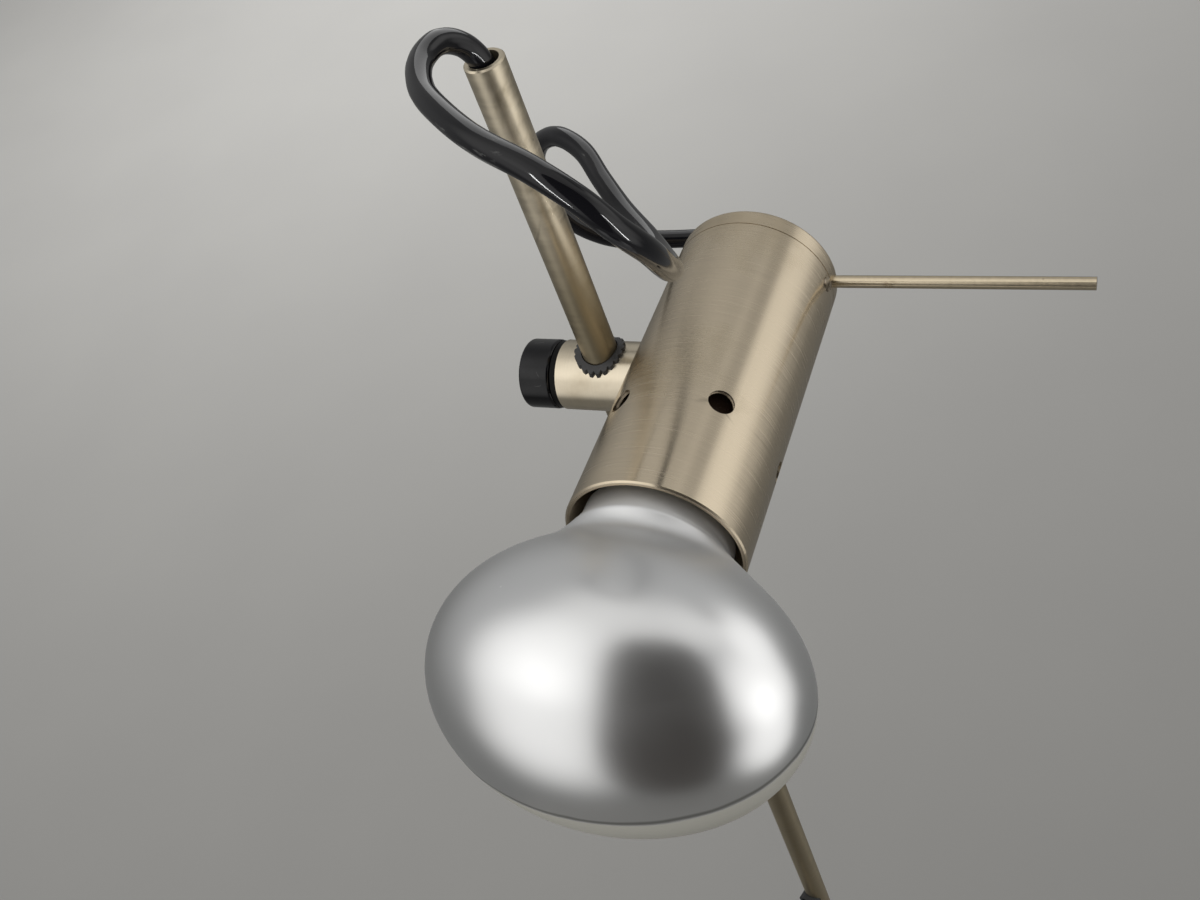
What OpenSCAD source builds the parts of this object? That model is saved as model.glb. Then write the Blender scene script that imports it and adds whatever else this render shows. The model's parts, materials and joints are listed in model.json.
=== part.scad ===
// Clamp lamp: a table clamp carries an upright tube, and a tubular head with a
// side-silvered bulb slides, swivels and tilts on a cross barrel that a knob locks.
// Millimetres, +Z up. The origin is on the table top, under the stem's axis.
// +X runs along the cross barrel to the head, and the bulb points along -Y.

/* [Stem] */
// Height of the tilt axis above the table top
joint_h = 436; // [376:1:456]
// Height of the stem's open top above the table top
stem_top = 540; // [516:1:566]
// Outside diameter of the stem tube
stem_d = 10; // [9:0.1:11]
// Inside diameter of the stem tube
stem_bore = 7.4; // [6.5:0.1:7.8]
// Slope on the edge of the stem's open top
stem_edge = 0.4; // [0.2:0.1:0.6]
// Height of the cord's way out of the stem
exit_h = 67; // [60:0.5:80]
// Direction of the cord's way out, turned from +X
exit_turn = 250; // [205:5:295]

/* [Head] */
// Distance of the head's axis from the stem's axis
head_x = 32.3; // [32:0.1:36]
// Outside diameter of the head tube
head_d = 47; // [45:0.5:49]
// Wall of the head tube
head_wall = 1.2; // [0.8:0.1:1.6]
// Slope on the edge of the head's open front
rim_edge = 0.4; // [0.2:0.1:0.5]
// Length of the head tube from the tilt axis to its rim
head_front = 58; // [54:0.5:62]
// Length of the head tube from the tilt axis to the cap's seam
head_back = 38.7; // [34:0.1:42]
// Upward tilt of the head at rest, in degrees
head_tilt = 2.7; // [-10:0.1:10]
// Diameter of one vent hole
vent_d = 7; // [4:0.5:9]
// Number of vent holes round the head
vent_count = 5; // [3:1:8]
// Distance of the vent holes in front of the tilt axis
vent_s = 27; // [24:0.5:40]
// Turn of the first vent hole from +X
vent_turn = 56.8; // [40:0.1:70]

/* [Cap] */
// Thickness of the cap's visible disc
cap_t = 6.2; // [5:0.1:8]
// Rounding of the cap's outer edge
cap_edge = 1.2; // [0.5:0.1:2]
// Depth of the groove along the cap's seam
seam_groove = 0.3; // [0.2:0.1:0.6]
// Depth of the cap's spigot inside the head tube
spigot_h = 8; // [6:0.5:10]
// Wall of the cap's spigot
spigot_wall = 3; // [2:0.1:4]
// Distance of the cap screws from the seam
screw_inset = 2.9; // [2.6:0.1:4]
// Head diameter of a cap screw
screw_head_d = 4; // [3:0.1:4.5]
// Shank diameter of a cap screw
screw_d = 2.5; // [2:0.1:3]
// Turn of the first cap screw from +X
screw_turn = 10; // [5:1:20]
// Turn between the two cap screws opposite the first
screw_spread = 70; // [60:1:110]
// Diameter of the aiming rod
rod_d = 3.6; // [3:0.1:4.2]
// Free length of the aiming rod
rod_len = 69.8; // [40:0.1:90]
// Depth of the aiming rod's seat in the cap
rod_seat = 9; // [6:0.5:12]

/* [Cross barrel] */
// Diameter of the cross barrel
barrel_d = 20; // [19:0.1:21]
// Distance of the barrel's knob end from the stem's axis
barrel_left = 12.6; // [12:0.1:15]
// Outside diameter of the nylon liner round the stem
liner_d = 12; // [11.5:0.1:12.2]
// Length of the nylon liner
liner_h = 14; // [12:0.5:14.5]
// Diameter of the toothed bush's sleeve
bush_d = 13; // [12.8:0.1:13.4]
// Diameter of the toothed bush's flange
bush_flange_d = 14.6; // [14:0.1:16]
// Thickness of the toothed bush's flange
bush_lip = 1.2; // [0.8:0.1:1.6]
// Number of teeth round the bush
bush_teeth = 20; // [12:1:22]
// Diameter of the washer inside the head
pivot_washer_d = 26; // [24:0.5:28]
// Thickness of the washer inside the head
pivot_washer_t = 1.2; // [0.8:0.1:1.6]
// Thread diameter of the barrel inside the head
pivot_thread_d = 16; // [14:0.5:17]
// Thickness of the nut inside the head
pivot_nut_h = 3; // [2:0.1:4]

/* [Lock knob] */
// Diameter of the lock knob
knob_d = 20; // [18:0.1:22]
// Length of the lock knob
knob_len = 9.7; // [8:0.1:12]
// Rounding of the lock knob's edges
knob_edge = 1; // [0.5:0.1:2]
// Thickness of the ring between the knob and the barrel
ring_t = 1.8; // [1:0.1:2.4]
// Diameter of the ring between the knob and the barrel
ring_d = 19.4; // [18:0.1:20]
// Diameter of the knob's stud
stud_d = 6; // [5:0.1:7]
// Diameter of the pressure pad
pad_d = 5; // [4:0.1:5.5]
// Length of the pressure pad
pad_len = 2.2; // [1.6:0.1:3]

/* [Bulb] */
// Distance of the bulb's middle in front of the tilt axis
bulb_mid = 92.3; // [90:0.1:96]
// Half length of the bulb's body
bulb_long_r = 33.9; // [30:0.1:36]
// Half width of the bulb's body
bulb_wide_r = 47.5; // [42:0.1:50]
// Half height of the bulb's body
bulb_high_r = 38; // [34:0.1:42]
// Drop of the bulb's body below the head's axis
bulb_drop = 8.7; // [4:0.1:10]
// Offset of the bulb's body from the head's axis, towards the stem
bulb_shift = 1; // [0:0.1:2]
// Radius of the bulb's neck at the rim
neck_r = 19.5; // [17:0.1:20]
// Thickness of the glass
glass_t = 0.8; // [0.6:0.1:1.2]
// Diameter of the screw base
base_d = 26.4; // [26:0.1:27]
// Length of the screw base's shell
base_len = 22; // [20:0.5:24]
// Distance of the base's tip in front of the tilt axis
base_s = 20; // [19:0.5:22]

/* [Lampholder] */
// Outside diameter of the lampholder
holder_d = 38; // [34:0.5:40]
// Length of the lampholder
holder_len = 24; // [22:0.5:26]
// Thickness of the lampholder's floor
holder_floor = 4; // [3:0.1:4.5]
// Wall of the lampholder's brass shell
shell_t = 0.5; // [0.4:0.1:0.8]
// Diameter of the threaded nipple
nipple_d = 10; // [9:0.1:11]
// Bore of the threaded nipple
nipple_bore = 7; // [6:0.1:8]

/* [Table clamp] */
// Width of the clamp
clamp_w = 28; // [24:0.5:32]
// Thickness of the clamp's bar
bar_t = 8; // [7:0.1:10]
// Widest opening between the upper pad and the lower jaw
jaw_gap = 50; // [48:1:70]
// Reach of the jaws in front of the stem's axis
jaw_reach = 48; // [44:0.5:50]
// Distance of the clamp's back wall behind the stem's axis
throat_y = 8; // [7:0.5:14]
// Inner radius of the clamp's bends
bend_r = 2; // [1:0.1:4]
// Thickness of the rubber pads
rubber_t = 1.5; // [1:0.1:2]
// Diameter of the stem's socket
socket_d = 20; // [18:0.1:24]
// Height of the stem's socket
socket_h = 18; // [14:0.5:18.5]
// Floor of the stem's socket under the stem
socket_floor = 6; // [5:0.1:8]
// Diameter of the socket's screw
socket_screw_d = 6; // [5:0.1:7]
// Diameter of the clamp's spindle
spindle_d = 10; // [8:0.1:12]
// Diameter of the boss under the lower jaw
boss_d = 20; // [17:0.5:24]
// Height of the boss under the lower jaw
boss_h = 8; // [6:0.5:12]
// Diameter of the clamp's foot
foot_d = 24; // [20:0.5:28]
// Thickness of the clamp's foot
foot_t = 6; // [5:0.1:8]
// Opening of the clamp at rest, a usual table top
grip = 30; // [24:1:36]
// Length of spindle below the boss at rest
spindle_free = 34; // [30:1:40]
// Diameter of the clamp's knob
hand_d = 30; // [26:0.5:36]
// Length of the clamp's knob
hand_len = 18; // [14:0.5:24]

/* [Cord] */
// Diameter of the cord
cord_d = 5.7; // [5:0.1:6]
// Full turns in the coil's lower layer
coil_turns = 4; // [3:1:5]
// Turns in the coil's upper layer
coil_top_turns = 2.5; // [1.5:1:2.5]
// Radius of the coil's innermost turn
coil_in_r = 21.5; // [20:0.5:24]
// Step between the coil's turns
coil_step = 6.25; // [6.2:0.05:6.6]
// Length of the in-line switch
switch_len = 62; // [56:1:64]
// Width of the in-line switch
switch_w = 26; // [22:0.5:30]
// Height of the in-line switch
switch_h = 16; // [15:0.5:18]
// Length of the plug's body
plug_len = 36; // [30:0.5:40]
// Width of the plug's body at its pins
plug_w = 26; // [25:0.5:30]
// Height of the plug's body
plug_h = 14; // [12:0.1:16]
// Length of the plug's pins
pin_len = 19; // [15:0.5:20]

/* [Hidden] */
$fn = 64;

// Clearances: a running fit, a loose fit within one body, and free air between bodies
run_gap = 0.06;
fit_gap = 0.1;
air_gap = 0.3;
// Overshoot of every cutter
over = 1;
half_turn = 180;

// Head, in its own frame: z towards the bulb, x along the barrel, y up
bore_r = head_d / 2 - head_wall;
spigot_r = bore_r - fit_gap;
cap_end = head_back + cap_t;
rod_s = head_back + cap_t / 2;
screw_s = head_back - screw_inset;
screw_proud = 0.5;
screw_thread = 2.5;
screw_count = 3;
slot_w = 0.8;
slot_deep = 0.6;
gland_d = 12;
gland_t = 4.5;
gland_edge = 1.5;
gland_sleeve_d = 8.4;
gland_sleeve_len = 3;
cord_hole_d = cord_d + 2 * fit_gap;

// Barrel, along X at joint_h
washer_x = head_x - sqrt(pow(bore_r, 2) - pow(pivot_washer_d / 2, 2)) + air_gap;
nut_x = washer_x + pivot_washer_t;
thread_end = nut_x + pivot_nut_h + 0.6;
nut_d = pivot_thread_d + 6;
sleeve_start = pad_d / 2 + 0.7;
tooth_d = 2.8;
knob_x = -(barrel_left + ring_t + air_gap);
pad_x = -(liner_d / 2 + fit_gap);
stud_x = pad_x - pad_len;
stud_in_knob = knob_len / 2;

// Lampholder and bulb, along the head's axis
holder_back = base_s - 2 - holder_floor;
holder_front = holder_back + holder_len;
shell_in_r = base_d / 2 + fit_gap;
shell_out_r = shell_in_r + shell_t;
shell_len = holder_len - holder_floor - 4;
nut_wide = nipple_d + 6;
nut_high = 3;
nipple_seat = 2.5;
contact_t = 0.6;
contact_w = 8;
insulator_len = 3;
tip_d = 9;
tip_h = 1.4;
glass_seat = 6;
glass_s = base_s + tip_h + insulator_len + base_len - glass_seat;
neck_flare_s = glass_s + glass_seat + 1;
neck_full_s = glass_s + 14;
neck_start_r = base_d / 2 - shell_t - fit_gap;
shift_len = 16;
neck_fade_s = head_front + 4;
crown_power = 6;
bulb_sides = 32;
neck_rings = 6;
body_rings = 20;
body_first = 20;
body_last = 176;

// Table clamp
jaw_top = rubber_t + bar_t;
jaw_floor = -(jaw_gap + bar_t);
bend_out_r = bend_r + bar_t;
bend_y = throat_y - bend_r;
spindle_y = -(jaw_reach - clamp_w / 2);
pad_inset = 1.5;
socket_base = jaw_top;
stem_foot = socket_base + socket_floor;
csk_d = 2 * socket_screw_d - 0.4;
csk_t = 3;
grub_d = 4;
grub_len = (socket_d - stem_d) / 2 - fit_gap;
foot_top = -grip;
foot_under = foot_top - rubber_t - foot_t;
cup_deep = foot_t - 2;
boss_foot = jaw_floor - boss_h;
hand_top = boss_foot - spindle_free;
hand_edge = 2.5;
hand_grip = 10;

// Cord: the way out of the stem, and what lies on the table top in front of the clamp
grommet_d = 9;
grommet_sleeve_d = 7.2;
grommet_face = 7.5;
cord_z = 3;
coil_gap = 0.5;
climb_turns = 0.5;
coil_y = -105;
coil_out_r = coil_in_r + coil_turns * coil_step;
coil_end_r = coil_in_r + coil_top_turns * coil_step;
coil_top_z = cord_z + cord_d + coil_gap;
coil_start_y = coil_y - coil_out_r;
coil_end_y = coil_y - coil_end_r;
coil_sides = 6;
coil_rings = 24;
tube_sides = 10;
seam_z = switch_h / 2;
switch_x = -80;
switch_y = -91;
switch_back = switch_y + switch_len / 2;
switch_front = switch_y - switch_len / 2;
entry_deep = 3;
shell_wall = 2;
slider_w = 8;
slider_len = 10;
slider_travel = 5;
slider_proud = 2.5;
slider_lip = 1.2;
rib_count = 4;
rib_d = 1;
plug_x = 62;
plug_back = -111;
plug_z = plug_h / 2;
plug_neck_w = 13;
pin_d = 4;
pin_pitch = 18.6;
pin_seat = 8;
pin_turns = [-1, 1];

// Route of the cord from the stem's top, once round the stem, to the head's cap
gland_face = head_point(-(cap_end + gland_t));
gland_inside = head_point(-cap_end);
gland_straight = head_point(-(cap_end + gland_t + cord_d));
loop_route = [
    [0, 0, 526], [0, 0, 537], [-2, -2, 545], [-4, -8, 550], [-4, -17, 551], [1, -27, 551], [10, -36, 551],
    [21, -44, 550], [33, -49, 547], [42, -51, 541], [47, -50, 533], [49, -44, 522], [46, -34, 509],
    [41, -22, 497], [32, -7, 487], [23, 5, 483], [12, 17, 482], [3, 27, 484], [-5, 36, 487], [-15, 43, 487],
    [-24, 47, 482], [-30, 50, 472], [-32, 53, 459], [-28, 55, 446], [-19, 59, 436], [-7, 65, 430],
    [6, 69, 427], [19, 69, 428], [28, 64, 431], gland_straight, gland_face, gland_inside
];
loop_split_1 = 8;
loop_split_2 = 18;
// Route of the cord from the stem's side to the switch, on to the coil, and from the coil to the plug
exit_dir = [cos(exit_turn), sin(exit_turn), 0];
exit_point = [0, 0, exit_h];
lead_route = [
    exit_point + (stem_d / 2) * exit_dir, exit_point + (grommet_face + cord_d) * exit_dir,
    [-7.5, -19, 65.5], [-12, -25, 60.5], [-17, -29, 52.5], [-21, -31, 42.5], [-24.5, -31.5, 32],
    [-28.5, -31.5, 22], [-34, -31, 13], [-42, -30.5, 6.5], [-52, -31, cord_z], [-62, -33, cord_z],
    [-71, -38.5, 4.5], [-77.5, -45.5, 6.5], [switch_x, switch_back + cord_d + 1, seam_z],
    [switch_x, switch_back - entry_deep, seam_z]
];
link_route = [
    [switch_x, switch_front + entry_deep, seam_z], [switch_x, switch_front - cord_d - 1, seam_z],
    [-78, -138, 6], [-72, -149, cord_z], [-62, -157, cord_z], [-49, -160, cord_z], [-36, -158, cord_z],
    [-22, -154, cord_z], [-13, coil_start_y, cord_z], [-cord_d, coil_start_y, cord_z]
];
tail_route = [
    [cord_d, coil_end_y, coil_top_z], [16, -143, coil_top_z], [28, -144, coil_top_z], [40, -142, coil_top_z],
    [51, -136, 8], [59, -127, plug_z], [plug_x, plug_back - cord_d - 1, plug_z],
    [plug_x, plug_back + entry_deep, plug_z]
];

echo(loop_length = route_length(loop_route), lead_length = route_length(lead_route));
echo(link_length = route_length(link_route), tail_length = route_length(tail_route));
echo(coil_length = route_length(coil_route()), coil_gap_to_itself = coil_clear());

// Points and tubes

function unit(v) = v / norm(v);

// One cap screw beside the aiming rod, and two on the far side
function screw_angle(k) = screw_turn + (k == 0 ? 0 : half_turn + (k - 1.5) * screw_spread);

function head_point(s) = [head_x, -s * cos(head_tilt), joint_h + s * sin(head_tilt)];

function route_length(p, i = 1) = i >= len(p) ? 0 : norm(p[i] - p[i - 1]) + route_length(p, i + 1);

function heading(p, i) =
    i == 0 ? unit(p[1] - p[0]) :
    i == len(p) - 1 ? unit(p[i] - p[i - 1]) :
    unit(unit(p[i + 1] - p[i]) + unit(p[i] - p[i - 1]));

// A first sideways vector, and then vectors that don't twist along the route
function first_side(p) = unit(cross(heading(p, 0), [1, 2, 3]));

function side_list(p, n, list) =
    len(list) == n ? list :
    let (t = heading(p, len(list)), u = list[len(list) - 1])
    side_list(p, n, concat(list, [unit(u - (u * t) * t)]));

function ring(centre, t, u, r, sides) =
    [for (k = [0 : sides - 1]) centre + r * (cos(360 * k / sides) * u + sin(360 * k / sides) * cross(t, u))];

function skin(rings, n) = [
    for (i = [0 : rings - 2], j = [0 : n - 1], half = [0, 1])
        let (a = i * n + j, b = a + n, c = i * n + (j + 1) % n, d = c + n)
        half == 0 ? [a, b, d] : [a, d, c]
];

function back_cap(n, from) = [[for (j = [0 : n - 1]) from + j]];

function front_cap(n, from) = [[for (j = [n - 1 : -1 : 0]) from + j]];

// A round tube through the route's points from one index to another
module tube(p, first, last, d, sides) {
    u = side_list(p, last + 1, [first_side(p)]);
    rings = last - first + 1;
    points = [for (i = [first : last]) each ring(p[i], heading(p, i), u[i], d / 2, sides)];
    polyhedron(points, concat(skin(rings, sides), back_cap(sides, 0), front_cap(sides, (rings - 1) * sides)));
}

// The coil spirals in on the table, climbs in half a turn, and spirals out on top
function coil_point(turn) =
    let (
        past = turn - coil_turns,
        climb = min(max(past / climb_turns, 0), 1),
        r = past < 0 ? coil_in_r - coil_step * past :
            past < climb_turns ? coil_in_r - coil_step * min(past, climb_turns - past) :
            coil_in_r + coil_step * (past - climb_turns),
        a = 360 * turn - 90
    )
    [r * cos(a), coil_y + r * sin(a), cord_z + climb * (coil_top_z - cord_z)];

coil_all = coil_turns + climb_turns + coil_top_turns;

function coil_route() = concat(
    [[-cord_d, coil_start_y, cord_z]],
    [for (i = [0 : coil_all * coil_rings]) coil_point(i / coil_rings)],
    [[cord_d, coil_end_y, coil_top_z]]
);

// Least gap between turns, measured on points at least half a turn apart along the coil
function coil_clear() =
    let (p = coil_route(), n = len(p), skip = coil_rings / 2)
    min([for (i = [0 : n - 1 - skip], j = [i + skip : n - 1]) norm(p[i] - p[j])]) - cord_d;

// Frames

module in_head() {
    translate([head_x, 0, joint_h]) rotate([90 - head_tilt, 0, 0]) children();
}

module on_barrel() {
    translate([0, 0, joint_h]) children();
}

// A cylinder along +X from one x to another
module x_bar(d, from, to) {
    translate([from, 0, 0]) rotate([0, 90, 0]) cylinder(d = d, h = to - from);
}

// A turned disc from z = 0 upwards with both edges rounded
module round_disc(d, h, edge) {
    rotate_extrude() {
        square([d / 2 - edge, h]);
        translate([0, edge]) square([d / 2, h - 2 * edge]);
        for (z = [edge, h - edge]) translate([d / 2 - edge, z]) circle(edge);
    }
}

// Table clamp

module jaw_plan(inset = 0) {
    translate([-clamp_w / 2 + inset, spindle_y])
        square([clamp_w - 2 * inset, throat_y + bar_t - spindle_y]);
    translate([0, spindle_y]) circle(d = clamp_w - 2 * inset);
}

// Outline of the bent bar, in y and z
module bar_profile() {
    difference() {
        union() {
            translate([-jaw_reach, jaw_floor]) square([jaw_reach + bend_y, jaw_top - jaw_floor]);
            translate([bend_y, jaw_floor + bend_out_r])
                square([bend_out_r, jaw_top - jaw_floor - 2 * bend_out_r]);
            for (z = [jaw_floor + bend_out_r, jaw_top - bend_out_r]) translate([bend_y, z]) circle(bend_out_r);
        }
        translate([-jaw_reach - over, -jaw_gap]) square([jaw_reach + over + bend_y, jaw_gap + rubber_t]);
        translate([bend_y - over, -jaw_gap + bend_r])
            square([bend_r + over, jaw_gap + rubber_t - 2 * bend_r]);
        for (z = [-jaw_gap + bend_r, rubber_t - bend_r]) translate([bend_y, z]) circle(bend_r);
    }
}

module clamp_bracket() {
    color("silver") difference() {
        union() {
            intersection() {
                translate([-clamp_w / 2, 0, 0])
                    rotate([90, 0, 90]) linear_extrude(clamp_w) bar_profile();
                translate([0, 0, jaw_floor - over])
                    linear_extrude(jaw_top - jaw_floor + 2 * over) jaw_plan();
            }
            translate([0, spindle_y, boss_foot]) cylinder(d = boss_d, h = boss_h + bar_t / 2);
        }
        translate([0, spindle_y, boss_foot - over])
            cylinder(d = spindle_d + 2 * run_gap, h = boss_h + bar_t + 2 * over);
        translate([0, 0, rubber_t - over]) cylinder(d = socket_screw_d + 2 * fit_gap, h = bar_t + 2 * over);
        translate([0, 0, rubber_t])
            cylinder(d1 = csk_d + 2 * fit_gap, d2 = socket_screw_d + 2 * fit_gap, h = csk_t);
    }
}

module jaw_pad() {
    color("black") linear_extrude(rubber_t) intersection() {
        jaw_plan(pad_inset);
        translate([-clamp_w / 2, -jaw_reach]) square([clamp_w, jaw_reach + bend_y - bend_r]);
    }
}

module stem_socket() {
    color("silver") translate([0, 0, socket_base]) difference() {
        round_disc(socket_d, socket_h, cap_edge);
        translate([0, 0, socket_floor]) cylinder(d = stem_d + 2 * fit_gap, h = socket_h);
        translate([0, 0, -over]) cylinder(d = socket_screw_d + 2 * fit_gap, h = socket_floor + 2 * over);
        translate([0, 0, (socket_h + socket_floor) / 2]) rotate([-90, 0, 0])
            cylinder(d = grub_d + 2 * fit_gap, h = socket_d);
    }
}

module socket_screw() {
    color("gray") translate([0, 0, rubber_t]) {
        cylinder(d1 = csk_d, d2 = socket_screw_d, h = csk_t);
        cylinder(d = socket_screw_d, h = bar_t + socket_floor - fit_gap);
    }
}

module socket_grub() {
    color("gray") translate([0, stem_d / 2 + fit_gap / 2, socket_base + (socket_h + socket_floor) / 2])
        rotate([-90, 0, 0]) difference() {
            cylinder(d = grub_d, h = grub_len);
            translate([-grub_d, -slot_w / 2, grub_len - slot_deep]) cube([2 * grub_d, slot_w, slot_deep + over]);
        }
}

module clamp_foot() {
    color("silver") translate([0, spindle_y, foot_under]) difference() {
        round_disc(foot_d, foot_t, cap_edge);
        translate([0, 0, -over]) cylinder(d = spindle_d + 2 * run_gap, h = cup_deep + over);
    }
}

module foot_pad() {
    color("black") translate([0, spindle_y, foot_top - rubber_t])
        cylinder(d = foot_d - 2 * pad_inset, h = rubber_t);
}

module clamp_spindle() {
    color("silver") translate([0, spindle_y, hand_top - hand_grip])
        cylinder(d = spindle_d, h = foot_under + cup_deep - run_gap - hand_top + hand_grip);
}

module clamp_knob() {
    color([0.05, 0.05, 0.05]) translate([0, spindle_y, hand_top - hand_len]) difference() {
        round_disc(hand_d, hand_len, hand_edge);
        translate([0, 0, hand_len - hand_grip]) cylinder(d = spindle_d, h = hand_grip + over);
    }
}

// Stem

module exit_bar(d, from, to) {
    translate([0, 0, exit_h]) rotate([0, 0, exit_turn]) x_bar(d, from, to);
}

module stem() {
    color("tan") difference() {
        union() {
            translate([0, 0, stem_foot]) cylinder(d = stem_d, h = stem_top - stem_edge - stem_foot);
            translate([0, 0, stem_top - stem_edge]) cylinder(d1 = stem_d, d2 = stem_d - 2 * stem_edge, h = stem_edge);
        }
        translate([0, 0, stem_foot - over]) cylinder(d = stem_bore, h = stem_top - stem_foot + 2 * over);
        exit_bar(grommet_sleeve_d + fit_gap, 0, stem_d);
    }
}

module cord_grommet() {
    color("black") difference() {
        union() {
            difference() {
                exit_bar(grommet_d, 0, grommet_face);
                translate([0, 0, stem_foot]) cylinder(d = stem_d + fit_gap, h = stem_top - stem_foot);
            }
            difference() {
                exit_bar(grommet_sleeve_d, 0, grommet_face);
                translate([0, 0, stem_foot]) cylinder(d = stem_bore + fit_gap, h = stem_top - stem_foot);
            }
        }
        exit_bar(cord_hole_d, -over, grommet_face + over);
    }
}

// Cross barrel

module stem_liner() {
    color("dimgray") on_barrel() difference() {
        cylinder(d = liner_d, h = liner_h, center = true);
        cylinder(d = stem_d + 2 * run_gap, h = liner_h + 2 * over, center = true);
    }
}

module barrel() {
    color("silver") on_barrel() difference() {
        union() {
            x_bar(barrel_d, -barrel_left, washer_x);
            x_bar(pivot_thread_d, 0, thread_end);
        }
        cylinder(d = bush_d, h = barrel_d + 2 * over, center = true);
        x_bar(stud_d + 2 * run_gap, -barrel_left - over, 0);
    }
}

// Toothed flange that lies on the barrel round the stem
module bush_flange() {
    difference() {
        intersection() {
            cylinder(d = bush_flange_d, h = barrel_d);
            x_bar(barrel_d + 2 * bush_lip, -barrel_d, barrel_d);
        }
        x_bar(barrel_d, -barrel_d, barrel_d);
        for (k = [1 : bush_teeth])
            rotate(360 * k / bush_teeth) translate([bush_flange_d / 2 + tooth_d / 4, 0, 0])
                cylinder(d = tooth_d, h = barrel_d, $fn = 4);
        cylinder(d = stem_d + 2 * air_gap, h = barrel_d);
    }
}

// Sleeve between the barrel and the liner, flush with the barrel
module bush_sleeve() {
    difference() {
        intersection() {
            translate([0, 0, sleeve_start]) cylinder(d = bush_d, h = barrel_d / 2);
            x_bar(barrel_d, -barrel_d, barrel_d);
        }
        cylinder(d = liner_d + 2 * run_gap, h = liner_h / 2 + air_gap);
        cylinder(d = stem_d + 2 * air_gap, h = barrel_d);
    }
}

module bush_top() {
    color("black") on_barrel() {
        bush_flange();
        bush_sleeve();
    }
}

module bush_bottom() {
    color("black") on_barrel() rotate([half_turn, 0, 0]) bush_sleeve();
}

module knob_ring() {
    color("black") on_barrel() difference() {
        x_bar(ring_d, -barrel_left - ring_t, -barrel_left);
        x_bar(stud_d + 2 * run_gap, -barrel_left - ring_t - over, 0);
    }
}

module pivot_washer() {
    color("gray") on_barrel() difference() {
        x_bar(pivot_washer_d, washer_x, nut_x);
        x_bar(pivot_thread_d, 0, head_x);
    }
}

module pivot_nut() {
    color("gray") on_barrel() difference() {
        translate([nut_x, 0, 0]) rotate([0, 90, 0]) cylinder(d = nut_d, h = pivot_nut_h, $fn = 6);
        x_bar(pivot_thread_d, 0, head_x);
    }
}

module pressure_pad() {
    color("dimgray") on_barrel() x_bar(pad_d, stud_x, pad_x);
}

module knob_stud() {
    color("gray") on_barrel() x_bar(stud_d, knob_x - stud_in_knob, stud_x);
}

module lock_knob() {
    color([0.05, 0.05, 0.05]) on_barrel() difference() {
        translate([knob_x - knob_len, 0, 0]) rotate([0, 90, 0]) round_disc(knob_d, knob_len, knob_edge);
        x_bar(stud_d, knob_x - stud_in_knob, knob_x + over);
    }
}

// Head

module at_screw(k) {
    rotate(screw_angle(k)) translate([0, 0, -screw_s]) children();
}

module head_tube() {
    color("silver") in_head() difference() {
        union() {
            translate([0, 0, -head_back]) cylinder(d = head_d, h = head_back + head_front - rim_edge);
            translate([0, 0, head_front - rim_edge]) cylinder(d1 = head_d, d2 = head_d - 2 * rim_edge, h = rim_edge);
        }
        translate([0, 0, -head_back - over]) cylinder(r = bore_r, h = head_back + head_front + 2 * over);
        for (k = [0 : vent_count - 1])
            rotate(vent_turn + 360 * k / vent_count) translate([0, 0, vent_s]) x_bar(vent_d, 0, head_d);
        x_bar(barrel_d + 2 * run_gap, -head_d, 0);
        for (k = [0 : screw_count - 1]) at_screw(k) x_bar(screw_head_d + 2 * fit_gap, 0, head_d);
    }
}

module end_cap() {
    color("silver") in_head() difference() {
        translate([0, 0, -cap_end]) rotate_extrude() {
            square([head_d / 2 - cap_edge, cap_t]);
            translate([0, cap_edge]) square([head_d / 2, cap_t - cap_edge - seam_groove]);
            translate([0, cap_edge]) square([head_d / 2 - seam_groove, cap_t - cap_edge]);
            translate([head_d / 2 - cap_edge, cap_edge]) circle(cap_edge);
            translate([spigot_r - spigot_wall, cap_t / 2]) square([spigot_wall, cap_t / 2 + spigot_h]);
        }
        translate([0, 0, -cap_end - over]) cylinder(d = gland_sleeve_d + fit_gap, h = cap_t + 2 * over);
        translate([0, 0, -head_back - nipple_seat]) cylinder(d = nipple_d, h = nipple_seat + over);
        translate([0, 0, -rod_s]) x_bar(rod_d + fit_gap, head_d / 2 - rod_seat, head_d);
        for (k = [0 : screw_count - 1]) at_screw(k) x_bar(screw_d + fit_gap, 0, head_d);
    }
}

module cap_screw(k) {
    color("gray") in_head() at_screw(k) difference() {
        union() {
            x_bar(screw_head_d, spigot_r + fit_gap, head_d / 2 + screw_proud);
            x_bar(screw_d, spigot_r - screw_thread, spigot_r + fit_gap);
        }
        translate([head_d / 2 + screw_proud - slot_deep, -slot_w / 2, -screw_head_d])
            cube([slot_deep + over, slot_w, 2 * screw_head_d]);
    }
}

module aiming_rod() {
    color("silver") in_head() translate([0, 0, -rod_s])
        x_bar(rod_d, head_d / 2 - rod_seat, head_d / 2 + rod_len);
}

module cord_gland() {
    color("black") in_head() translate([0, 0, -cap_end]) difference() {
        union() {
            translate([0, 0, -gland_t]) rotate_extrude() {
                square([gland_d / 2 - gland_edge, gland_t]);
                translate([0, gland_edge]) square([gland_d / 2, gland_t - gland_edge]);
                translate([gland_d / 2 - gland_edge, gland_edge]) circle(gland_edge);
            }
            cylinder(d = gland_sleeve_d, h = gland_sleeve_len);
        }
        translate([0, 0, -gland_t - over]) cylinder(d = cord_hole_d, h = gland_t + cap_t + over);
    }
}

// Lampholder and bulb

module pipe(d, hole_d, from, to) {
    difference() {
        translate([0, 0, from]) cylinder(d = d, h = to - from);
        translate([0, 0, from - over]) cylinder(d = hole_d, h = to - from + 2 * over);
    }
}

module nipple() {
    color("gray") in_head() pipe(nipple_d, nipple_bore, -head_back - nipple_seat, holder_back + holder_floor / 2);
}

module nipple_nut() {
    color("gray") in_head() translate([0, 0, holder_back - nut_high]) difference() {
        cylinder(d = nut_wide, h = nut_high, $fn = 6);
        translate([0, 0, -over]) cylinder(d = nipple_d, h = nut_high + 2 * over);
    }
}

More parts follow.
